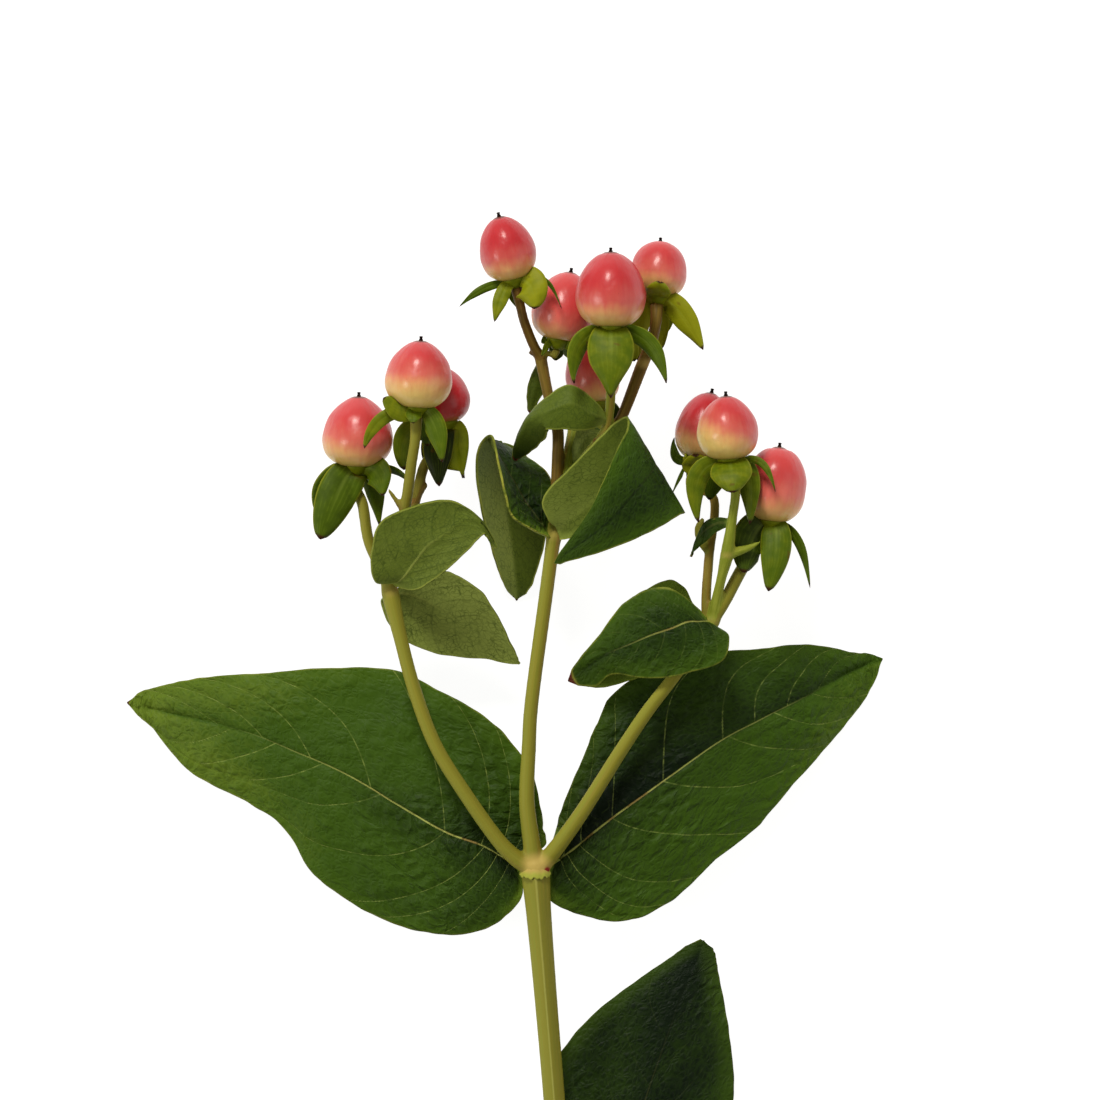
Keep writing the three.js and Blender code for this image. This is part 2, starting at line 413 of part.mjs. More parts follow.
// ---- the pieces ----
function leafGeometry(lines) {
  const [left, rib, right] = [0, 1, 2].map((which) => curve(lines.map((line) => line[which])));
  const middle = (along, across) => {
    const edge = (across < 0 ? left : right).getPoint(along);
    return rib.getPoint(along).lerp(edge, Math.abs(across));
  };
  const step = 0.01;
  const grid = lines.length < LEAF_GRID[1] ? SMALL_LEAF_GRID : LEAF_GRID;
  return blade(...grid, (along, across, face) => {
    const [low, high] = [Math.max(along - step, 0), Math.min(along + step, 1)];
    const ahead = middle(high, across).sub(middle(low, across));
    const aside = right.getPoint(along).sub(left.getPoint(along));
    const normal = new THREE.Vector3().crossVectors(aside, ahead).normalize();
    const point = middle(along, across);
    point.z = Math.max(point.z, BLADE / 2);
    point.addScaledVector(normal, (face * BLADE) / 2);
    point.z = Math.max(point.z, 0);
    return point;
  });
}

// The axes of a berry: up its middle, towards the front (+Z), and to its right.
function axesOf({ base, tip }) {
  const up = vector(tip).sub(vector(base)).normalize();
  const front = UP.clone().addScaledVector(up, -UP.dot(up)).normalize();
  const right = new THREE.Vector3().crossVectors(up, front);
  return { up, front, right };
}

function berryGeometry(berry) {
  const { up, front, right } = axesOf(berry);
  const length = vector(berry.tip).distanceTo(vector(berry.base));
  const outline = BERRY_OUTLINE.map(([along, out]) => [out * berry.radius, along * length]);
  const geometry = lathe(outline, BERRY_SIDES);
  const place = geometry.attributes.position;
  for (let index = 0; index < place.count; index++) {
    const [x, y, z] = [place.getX(index), place.getY(index), place.getZ(index)];
    const swell = 1 + LOBE * Math.cos(3 * Math.atan2(x, z));
    const point = vector(berry.base).addScaledVector(up, y);
    point.addScaledVector(right, x * swell).addScaledVector(front, z * swell);
    place.setXYZ(index, point.x, point.y, point.z);
  }
  return geometry;
}

// Height of the underside of a berry above its base, at a distance from its axis.
function undersideOf(berry, reach) {
  const length = vector(berry.tip).distanceTo(vector(berry.base));
  for (let point = 1; point < BERRY_WIDEST; point++) {
    const [low, near] = BERRY_OUTLINE[point];
    const [high, far] = BERRY_OUTLINE[point + 1];
    const share = (reach / berry.radius - near) / (far - near);
    if (share <= 1) {
      return Math.max(0, low + (high - low) * share) * length;
    }
  }
  return Infinity;
}

// Moves a point, given from the berry's base, out of the berry and out of the stalk under it.
function cleared(berry, point) {
  const { up } = axesOf(berry);
  const height = point.dot(up);
  const out = point.clone().addScaledVector(up, -height);
  const reach = out.length();
  const top = undersideOf(berry, reach) - SEPAL_ROOM;
  if (height < -CALYX_DEPTH && reach < STALK_ROOM) {
    out.setLength(STALK_ROOM);
  }
  return out.addScaledVector(up, Math.min(height, top));
}

// A sepal's rib starts inside the cup and bends by way of a turning point to its tip.
function sepalGeometry(berry, [bend, tip, width, turn]) {
  const { up } = axesOf(berry);
  const aim = vector(bend).addScaledVector(up, -vector(bend).dot(up)).setLength(SEPAL_START);
  const start = aim.addScaledVector(up, -SEPAL_SEAT);
  const rib = new THREE.QuadraticBezierCurve3(start, vector(bend), vector(tip));
  return blade(...SEPAL_GRID, (along, across, face) => {
    const ahead = rib.getTangent(along);
    const normal = UP.clone().addScaledVector(ahead, -UP.dot(ahead)).normalize();
    normal.applyAxisAngle(ahead, radians(turn));
    const aside = new THREE.Vector3().crossVectors(ahead, normal);
    const share = Math.sin(Math.PI * (0.16 + 0.84 * along)) ** 0.7;
    const half = (width / 2) * Math.max(SEPAL_TIP, share);
    const cup = -SEPAL_CUP * width * across * across * Math.min(1, 3 * along);
    const middle = rib.getPoint(along).addScaledVector(aside, across * half);
    const point = cleared(berry, middle.addScaledVector(normal, cup)).add(vector(berry.base));
    return point.addScaledVector(normal, (face * SEPAL) / 2);
  });
}

function turned(geometry, berry) {
  const { up, front, right } = axesOf(berry);
  const [x, y, z] = vector(berry.base).toArray();
  return geometry.applyMatrix4(new THREE.Matrix4().makeBasis(right, up, front).setPosition(x, y, z));
}

function calyxGeometry(berry) {
  const side = [[CALYX_FOOT, -CALYX_DEPTH], [CALYX_RADIUS, -CALYX_DEPTH / 2], [CALYX_RADIUS, -SEAT]];
  const cup = lathe([[0, -CALYX_DEPTH], ...side, [0, -SEAT]], 8);
  const sepals = berry.sepals.map((sepal) => solid(sepalGeometry(berry, sepal)));
  return joined([solid(turned(cup, berry)), ...sepals]);
}

function styleGeometry(berry) {
  const length = vector(berry.tip).distanceTo(vector(berry.base)) * DIMPLE + SEAT;
  const parts = [new THREE.CylinderGeometry(0.18, 0.32, STYLE_LENGTH * 0.6, 5)];
  parts[0].translate(0, length + STYLE_LENGTH * 0.3, 0);
  for (let index = 0; index < 3; index++) {
    const prong = new THREE.CylinderGeometry(0.07, 0.13, STYLE_LENGTH * 0.6, 3);
    prong.translate(0, STYLE_LENGTH * 0.3, 0).rotateX(0.45).rotateY((2 * Math.PI * index) / 3);
    parts.push(prong.translate(0, length + STYLE_LENGTH * 0.45, 0));
  }
  return turned(joined(parts.map(solid)), berry);
}

function stemGeometry() {
  const parts = SHOOTS.map((points, index) => shoot(points, 8, points.length + 2, RIDGE));
  for (const berry of Object.values(BERRIES)) {
    const { up } = axesOf(berry);
    const last = berry.stalk.at(-1);
    const end = vector(berry.base).addScaledVector(up, -CALYX_DEPTH - SEAT);
    const near = end.clone().addScaledVector(up, -STALK_STRAIGHT * end.distanceTo(vector(last)));
    const top = [...end.toArray(), STALK_SWELL * last[3]];
    const stalk = [...berry.stalk, [...near.toArray(), last[3]], top];
    parts.push(shoot(stalk, 6, stalk.length + 1, 0));
  }
  for (const points of BRACTS) {
    parts.push(shoot(points, 4, 1, 0));
  }
  return joined(parts.map(solid));
}

// ---- the whole ----
const hypericum = new THREE.Group();
hypericum.position.set(...SHIFT);

function add(name, geometry, kind) {
  const [color, roughness] = COLOURS[kind];
  const mesh = new THREE.Mesh(geometry, new THREE.MeshStandardMaterial({ color, roughness }));
  mesh.name = name;
  hypericum.add(mesh);
}

add("stem", stemGeometry(), "stem");
for (const [name, lines] of Object.entries(LEAVES)) {
  add(name, leafGeometry(lines), YOUNG.includes(name) ? "young" : "leaf");
}
for (const [name, berry] of Object.entries(BERRIES)) {
  add(`berry_${name}`, berryGeometry(berry), "berry");
  add(`calyx_${name}`, calyxGeometry(berry), "calyx");
  add(`style_${name}`, styleGeometry(berry), "style");
}

export default hypericum;
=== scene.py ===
"""A cut stem of hypericum with ripe berries, lying on a pale table."""

import math

import bmesh
import bpy
import numpy as np
from mathutils import Matrix, Vector, kdtree, noise


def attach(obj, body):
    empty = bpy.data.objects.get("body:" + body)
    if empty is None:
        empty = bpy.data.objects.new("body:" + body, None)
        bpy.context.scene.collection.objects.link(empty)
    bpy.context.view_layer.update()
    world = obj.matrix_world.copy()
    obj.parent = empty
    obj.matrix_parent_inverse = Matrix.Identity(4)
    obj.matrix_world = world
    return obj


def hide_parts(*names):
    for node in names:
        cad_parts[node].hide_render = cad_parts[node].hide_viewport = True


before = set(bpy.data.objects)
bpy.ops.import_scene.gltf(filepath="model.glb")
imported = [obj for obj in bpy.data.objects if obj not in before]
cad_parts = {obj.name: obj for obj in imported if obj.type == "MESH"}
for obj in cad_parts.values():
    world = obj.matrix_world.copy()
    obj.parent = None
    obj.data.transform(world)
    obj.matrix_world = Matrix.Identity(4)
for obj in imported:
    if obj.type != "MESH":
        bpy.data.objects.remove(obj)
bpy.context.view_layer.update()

# ---- driving dimensions: millimetres, from the main fork, as the solids have them ----
MM = 0.001
FORK = np.array([5.2, -3.2, 0.0])  # the main fork in the frame
LEAF_THICK = 0.34
SEPAL_THICK = 0.32
DIMPLE = 0.97  # bottom of the hollow at a berry's tip, as a share of its length
LOBE = 0.022  # how far the three lobes of a berry swell, as a share of its radius
CUP_DEPTH = 1.5  # from a berry's base down to the foot of its cup
CUP_RADIUS = 1.95  # the rim of the cup
CUP_OUTLINE = [(0, -CUP_DEPTH), (0.85, -CUP_DEPTH), (1.25, -1.0), (1.6, -0.5), (CUP_RADIUS, -0.1),
               (1.8, 0.12), (0, 0.02)]  # [out, up] from the berry's base
STYLE_FOOT = {"radius1": 0.42, "radius2": 0.26, "depth": 0.5}
STYLE_PRONG = {"radius1": 0.2, "radius2": 0.1, "depth": 0.55}
PRONG_LEAN = 0.42  # in radians
STALK_GAP = 0.3  # below the cup, where a stalk's way turns straight up into it
STALK_CLEAR = 1.7  # how far a sepal stays off the middle of the stalk below the cup
BEYOND = 99  # a height over anything, where no berry is overhead
RING_STEP = 0.6  # from one ring of corners to the next along a shoot
STEM_VOXEL = 0.28  # cell in which the shoots grow together
COLLAR_MIDDLE = (-0.3, 0.3, 12.15)
COLLAR_THICK = 0.16

# ---- the view from straight above ----
VIEW_PIXELS = 1100  # side of the square view
FORK_PIXEL = (537, 870)  # the main fork in the view, from its top left corner
PIXEL = 0.157  # mm to a pixel at the level of the view
VIEW_LEVEL = 12  # height of the middle of the stem
LENS = 400.0
SENSOR = 36

# ---- leaves: cross lines from base to tip, each [left edge, rib, right edge] ----
LEAF_LINES = {
    "leaf_main_left": [
        [[-2.3, -0.8, 10.8], [-3, 0.5, 11.2], [-2.5, 1.8, 10.5]],
        [[-2.6, -4.7, 9.7], [-5.5, 2, 11.2], [1.3, 4, 9]],
        [[-7.5, -9, 8.5], [-9, 4, 11], [1, 9, 9]],
        [[-15, -10, 7], [-14.5, 6, 10.8], [-2.5, 17, 10]],
        [[-24.5, -7.5, 5.5], [-21.5, 10, 10.2], [-10.5, 25.5, 10.5]],
        [[-34, -1.5, 5], [-30, 15, 9], [-21.5, 31, 9.5]],
        [[-39, 5.5, 4.5], [-38, 18.5, 7.6], [-34, 31.5, 8.5]],
        [[-46.5, 11, 3.5], [-45.5, 21.5, 6], [-45, 31, 6.5]],
        [[-54.5, 15.5, 2], [-53.5, 23.5, 3.6], [-54.5, 30, 4]],
        [[-60.5, 22, 0], [-60.5, 25, 0.6], [-60.5, 28.5, 1]],
        [[-64.3, 25.3, 0], [-64.8, 26.1, 0], [-64.4, 26.8, 0]],
    ],
    "leaf_main_right": [
        [[2.4, 1.9, 10.5], [2.2, 0.9, 11.2], [1.7, -0.6, 10.8]],
        [[3, 4.5, 9], [5.5, 3, 11.2], [2.1, -4.4, 9.8]],
        [[4, 9, 9.5], [8.5, 5.5, 11], [7.5, -7, 8.5]],
        [[7, 17, 10], [13, 9, 10.6], [15, -8, 7]],
        [[9.5, 23, 10.3], [20, 14, 10], [24, -2.5, 5.5]],
        [[14.5, 29, 10], [28.5, 20, 9], [31, 3.5, 4.5]],
        [[24, 33.5, 9.5], [36, 24, 7.6], [39, 12, 3.5]],
        [[36.5, 35, 7.5], [42, 27, 5.4], [44.5, 18, 2.2]],
        [[44.5, 35, 4.6], [47.5, 30, 2.6], [49.5, 24, 0.8]],
        [[51, 34, 1.4], [51.5, 32, 0.6], [52.5, 28.5, 0]],
        [[54, 33.7, 0], [54.6, 33, 0], [54.4, 32.3, 0]],
    ],
    "leaf_lower_left": [
        [[3.7, -68.7, 4.9], [3.4, -67.6, 5.3], [3.8, -66.5, 4.9]],
        [[2.5, -74.5, 3.4], [-0.5, -67, 5.4], [2, -60.5, 3.8]],
        [[-2.5, -80, 2.6], [-4, -66, 5.6], [0, -54, 4]],
        [[-10.5, -82, 2], [-10.5, -64, 5.6], [-5, -48.5, 4.2]],
        [[-19, -80, 1.4], [-18.5, -61, 5], [-13, -44, 4]],
        [[-27, -74.5, 1], [-26.5, -58, 4], [-22.5, -42.5, 3.4]],
        [[-35, -68.5, 0.8], [-35, -55.5, 3], [-31.5, -43, 2.6]],
        [[-42, -61.5, 0.7], [-42, -53, 2], [-40.5, -45.5, 1.8]],
        [[-47, -55, 0.6], [-47.5, -51.5, 1.2], [-46, -48, 1.1]],
        [[-50.5, -50.7, 0.5], [-51, -50, 0.5], [-50.4, -49.3, 0.5]],
    ],
    "leaf_lower_right": [
        [[6.3, -65.1, 4.9], [6.5, -66.2, 5.2], [7, -67.3, 4.9]],
        [[4.5, -61.5, 2.4], [9.5, -63, 4.8], [16, -65, 3.6]],
        [[3.5, -55.5, 2.6], [10.5, -58, 5], [23, -60, 3]],
        [[2, -48, 3], [12, -51, 5.2], [27.5, -52.5, 2.6]],
        [[1.5, -39, 3.4], [15, -42.5, 5], [30, -43, 2.2]],
        [[2.5, -31.5, 3.6], [18, -33.5, 4.6], [31, -34, 1.8]],
        [[8.5, -23.5, 3.6], [21, -25, 4], [30, -24.5, 1.4]],
        [[16, -17.5, 3], [23.5, -18, 3], [28.5, -16.5, 1.2]],
        [[22, -13.5, 2], [25.5, -14, 1.8], [28, -13.5, 1]],
        [[25, -11.7, 1.1], [26.2, -11.4, 1], [27.3, -12.2, 0.9]],
    ],
    "leaf_left_front": [
        [[-22.1, 44.7, 15.9], [-22.7, 45.1, 15.9], [-23.3, 45, 15.9]],
        [[-19, 44, 18.6], [-21, 46, 18.3], [-25.5, 45.5, 18.4]],
        [[-15.5, 46, 21], [-19, 48.5, 20.2], [-26, 49.5, 20.4]],
        [[-12.5, 48.5, 23], [-17, 51, 22.2], [-24.5, 54.5, 22.6]],
        [[-10, 51, 24.6], [-14, 53, 23.8], [-19.5, 57, 24.6]],
        [[-8.5, 52.5, 25.4], [-11.5, 55, 25.2], [-15, 58, 26]],
        [[-7.8, 52.3, 25.2], [-9.1, 54.8, 25.4], [-12, 57.5, 26.2]],
        [[-7.2, 51.3, 24.2], [-7.5, 53, 24.4], [-9, 55.5, 25]],
        [[-6.6, 50.3, 23.2], [-6.3, 50.6, 23.2], [-6.1, 51.1, 23.4]],
    ],
    "leaf_left_back": [
        [[-23.6, 42.8, 14.1], [-22.8, 43.4, 14.2], [-22, 44, 14.1]],
        [[-24.5, 42, 12.4], [-21, 43.5, 12.7], [-18.5, 46, 12.7]],
        [[-23.5, 39, 12], [-19, 43, 12.4], [-15, 47, 12.8]],
        [[-21.5, 36.5, 11.2], [-16, 41.5, 11.8], [-12, 46, 12.6]],
        [[-17.5, 34.5, 10], [-12.5, 39.5, 11], [-8.5, 43.5, 12]],
        [[-13, 33.5, 8.8], [-9, 37.5, 9.8], [-6, 39.5, 10.8]],
        [[-7.5, 33, 7.6], [-5.5, 35, 8.2], [-4, 35.5, 8.8]],
        [[-3.2, 32, 6.8], [-2.7, 32.4, 6.8], [-2.8, 33, 6.9]],
    ],
    "leaf_center_left": [
        [[2, 52.1, 16.6], [1.9, 52.7, 15.8], [2, 53.4, 15.1]],
        [[-1, 53.5, 20], [0.2, 55, 17], [2.4, 56.4, 14.2]],
        [[-4, 55.5, 21.5], [-2, 58, 17], [2.3, 60.6, 13.4]],
        [[-5, 59, 22], [-4, 61.5, 17], [0.9, 63, 12.6]],
        [[-6, 63.5, 21.5], [-6, 65, 16.5], [-2, 65, 11.6]],
        [[-7, 68, 20], [-7.5, 67.5, 14.5], [-5.5, 67, 10]],
        [[-9, 66.5, 17], [-7, 66, 10.8], [-2, 65.5, 7.6]],
        [[-9.5, 62, 14], [-5.5, 61, 8.2], [0.5, 60.5, 6]],
        [[-8.5, 55.5, 10.5], [-4.7, 55, 6], [1.5, 54, 4.7]],
        [[-7, 50, 7], [-3.9, 49.5, 4], [0.5, 48.5, 3.2]],
        [[-5.6, 45.6, 3.6], [-3.4, 45, 2], [-0.9, 44.6, 1.8]],
        [[-4.3, 43.1, 0.5], [-3.2, 42.2, 0.35], [-2.2, 42.9, 0.5]],
    ],
    "leaf_center_right": [
        [[3.6, 51.9, 16.6], [3.4, 52.9, 16.7], [3.3, 53.6, 16.8]],
        [[6.2, 52.1, 17.3], [4.6, 54.4, 17.8], [1.5, 55.3, 18.6]],
        [[10, 52.5, 18], [8, 57, 18.8], [1, 58.5, 19.8]],
        [[14.5, 53, 18.6], [11.5, 59.5, 19.6], [4.5, 62.5, 21]],
        [[18, 54, 19.4], [15, 61.5, 20.6], [8.5, 66.5, 22.4]],
        [[21, 55.5, 20.6], [17.5, 63, 22], [12, 70, 24]],
        [[23, 56, 22.4], [18.5, 63.5, 24.4], [14, 71, 26]],
        [[22, 55.5, 24.6], [17.5, 62, 26.6], [14, 69, 27.6]],
        [[18.5, 53.5, 25.6], [15, 59, 27.4], [12.5, 66, 28.4]],
        [[14, 51.5, 25], [12, 55.5, 26.8], [10.5, 61.5, 28]],
        [[8.5, 49.5, 23.8], [8.5, 52.5, 25.2], [8.5, 57, 26.4]],
        [[5, 48.5, 22.4], [5, 50, 23.2], [5.5, 52.5, 24]],
        [[3, 47.8, 21.5], [2.7, 48.2, 21.6], [2.7, 48.8, 21.8]],
    ],
    "leaf_top_rolled": [
        [[11, 71.2, 21.1], [11, 70.6, 21.2], [11, 70.1, 21]],
        [[8.5, 74, 22.8], [8.5, 71.5, 23.4], [8, 69, 22.7]],
        [[5, 76, 23], [5.5, 73, 24.4], [5, 69, 23.6]],
        [[1.5, 74, 22.5], [2, 72, 24.4], [1.5, 69, 24]],
        [[-1, 71.5, 21.5], [-1, 70.5, 23.4], [1.8, 68.7, 23]],
        [[-2.5, 69, 19.5], [-2.5, 68, 21], [0.9, 67.3, 20.8]],
        [[-3.5, 66.5, 17.5], [-3, 66, 18.6], [-0.9, 65.7, 18.4]],
        [[-3.8, 64.7, 16.6], [-3.4, 64.3, 16.6], [-2.9, 64.5, 16.7]],
    ],
    "leaf_top_hanging": [
        [[0, 79.4, 17.8], [0.6, 79.5, 18], [1.2, 79.4, 17.8]],
        [[-1, 77.5, 15.4], [0, 77.5, 15.8], [1.5, 77.5, 15.4]],
        [[-1.5, 75.5, 14.8], [-0.3, 75.5, 15.2], [1.4, 75.5, 14.8]],
        [[-1.6, 73.5, 14.4], [-0.8, 73.5, 14.6], [0.2, 73.5, 14.4]],
        [[-1.5, 72, 14.2], [-1.1, 71.8, 14.2], [-0.7, 72, 14.2]],
    ],
    "leaf_top_small": [
        [[10.1, 68.9, 19.2], [10.6, 68.5, 19.3], [10.7, 67.9, 19.3]],
        [[7, 70.2, 17], [8.2, 68.4, 17.4], [9.6, 66.8, 17.1]],
        [[5.9, 68, 16.6], [6.8, 66.2, 17], [8, 64.6, 16.6]],
        [[5.4, 65.8, 16.2], [6, 65, 16.3], [6.8, 63.9, 16.2]],
        [[5.2, 64.1, 15.9], [5.5, 63.8, 15.9], [5.9, 63.4, 15.9]],
    ],
    "leaf_right_small": [
        [[30.5, 54.1, 20.6], [30.3, 54.5, 20.8], [30.5, 55.1, 20.7]],
        [[28.6, 53, 18.8], [28.1, 54.4, 19.2], [28.2, 55.6, 18.8]],
        [[26.6, 51.2, 17.4], [26, 53, 17.8], [26.4, 55, 17.6]],
        [[24.8, 49.8, 16.6], [24.8, 51, 16.8], [25, 52.2, 16.8]],
        [[23.9, 49, 16], [24.1, 49.2, 16], [24.4, 49.4, 16]],
    ],
    "leaf_right_front": [
        [[27.7, 38.4, 16.8], [27, 39.1, 16.8], [26.2, 39.8, 16.8]],
        [[30, 36.5, 18.9], [25.5, 39, 18.9], [24.5, 41.5, 19]],
        [[29, 33, 19.2], [23.5, 39, 19.6], [22, 43, 19.8]],
        [[25, 31.5, 18.9], [21, 38, 20], [19, 43.5, 19.6]],
        [[20.5, 30.5, 18.4], [18, 37, 19.6], [15.5, 43, 19]],
        [[16, 30.5, 17.4], [14.5, 35.5, 18.6], [12.5, 40.5, 18.2]],
        [[12, 31, 16], [11, 34, 17], [10, 37, 17]],
        [[9, 29.5, 14.6], [8, 32, 15.2], [7, 33.5, 15.6]],
        [[5.6, 29, 13.6], [4.9, 29.7, 13.6], [5, 30.6, 13.8]],
    ],
    "leaf_right_back": [
        [[27.2, 38.2, 14.9], [27.1, 39.1, 15.1], [26.6, 39.9, 14.9]],
        [[26, 36, 13], [25, 39, 13.4], [24.5, 42, 13]],
        [[24.5, 34, 12.6], [23, 38, 13], [23, 44.5, 13]],
        [[21.5, 32, 12.4], [20.5, 37, 12.8], [20.5, 45.5, 12.8]],
        [[18.5, 31, 12.2], [17, 35.5, 12.6], [16.5, 43.5, 12.6]],
        [[15.5, 30, 12], [14, 33, 12.4], [12.5, 39, 12.4]],
        [[12, 29, 11.9], [11, 31, 12], [10, 34, 12]],
        [[8.5, 28.4, 11.8], [7.9, 28.9, 11.8], [8.2, 29.5, 11.8]],
    ],
}

# ---- the stem's shoots: [x, y, z, radius] along each ----
SHOOTS = [
    [[7.2, -95.8, 2.2, 1.9], [6.3, -83.2, 3.4, 1.8], [5.3, -70.6, 5.2, 1.85], [5.1, -67.5, 5.6, 2.2],
        [4.9, -64.4, 6, 1.85], [3.9, -51.8, 7.4, 1.75], [2.7, -36.1, 9, 1.72], [1.4, -20.4, 10.4, 1.8],
        [0.3, -7.1, 11.6, 2], [-0.3, 0.3, 12.2, 2.25], [-0.5, 1.6, 12.3, 1.6]],
    [[-0.6, 0.3, 12.4, 1.5], [-3.3, 1.9, 13, 1.35], [-6.3, 5, 13.8, 1.2], [-11.1, 11.8, 14.8, 1.15],
        [-15.9, 19.6, 15.2, 1.1], [-19.2, 28.3, 15.4, 1.1], [-21.5, 36.9, 15.2, 1.12],
        [-22.9, 43, 15, 1.4], [-23.4, 45.2, 15, 1.1]],
    [[-0.3, 0.3, 12.4, 1.6], [-0.9, 4.7, 13, 1.4], [-1.6, 11, 13.6, 1.25], [-1.3, 18.8, 14, 1.15],
        [-0.8, 26.7, 14.4, 1.12], [1.3, 42.4, 15, 1.12], [2.4, 50.6, 15.4, 1.15], [2.7, 52.6, 15.5, 1.35],
        [2.8, 54.3, 15.6, 1.1]],
    [[0.2, 0.3, 12.4, 1.5], [2.4, 2.7, 13, 1.35], [6.9, 8.9, 14, 1.2], [13.3, 19, 15, 1.1],
        [17.4, 25.1, 15.4, 1.05], [21.4, 30.3, 15.8, 1], [25.6, 36.4, 16, 1.05], [27.3, 39.1, 16, 1.4],
        [27.9, 40.5, 16, 1]],
    # the shoot that carries the two upper berries of the middle cluster
    [[2.8, 54, 15.6, 1], [3.1, 61.2, 16.5, 0.95], [3.3, 68.5, 17.5, 0.95], [2.4, 72.2, 18, 0.9],
        [1.6, 75.2, 18.2, 0.88], [0.5, 80.7, 18.5, 1]],
]
# Small bracts beside the stalks, from tip to foot: [x, y, z, radius].
BRACTS = [
    [[-23.3, 59.8, 20.7, 0.25], [-20.7, 56.2, 20.2, 0.6]],
    [[-17.2, 60.6, 15.6, 0.3], [-19.3, 57.6, 15.5, 0.6]],
    [[-1.3, 81.2, 18.6, 0.25], [0.5, 80.6, 18.5, 0.7]],
    [[35, 51.6, 19.6, 0.2], [33.4, 50.7, 19.4, 0.5], [31.6, 50.1, 19.5, 0.75], [29.7, 49.5, 19.8, 0.9]],
    [[26.1, 55.2, 14.7, 0.3], [25.4, 53.7, 14.6, 0.72], [25.7, 51.6, 14.5, 0.68], [26.7, 50, 14.5, 0.5]],
]

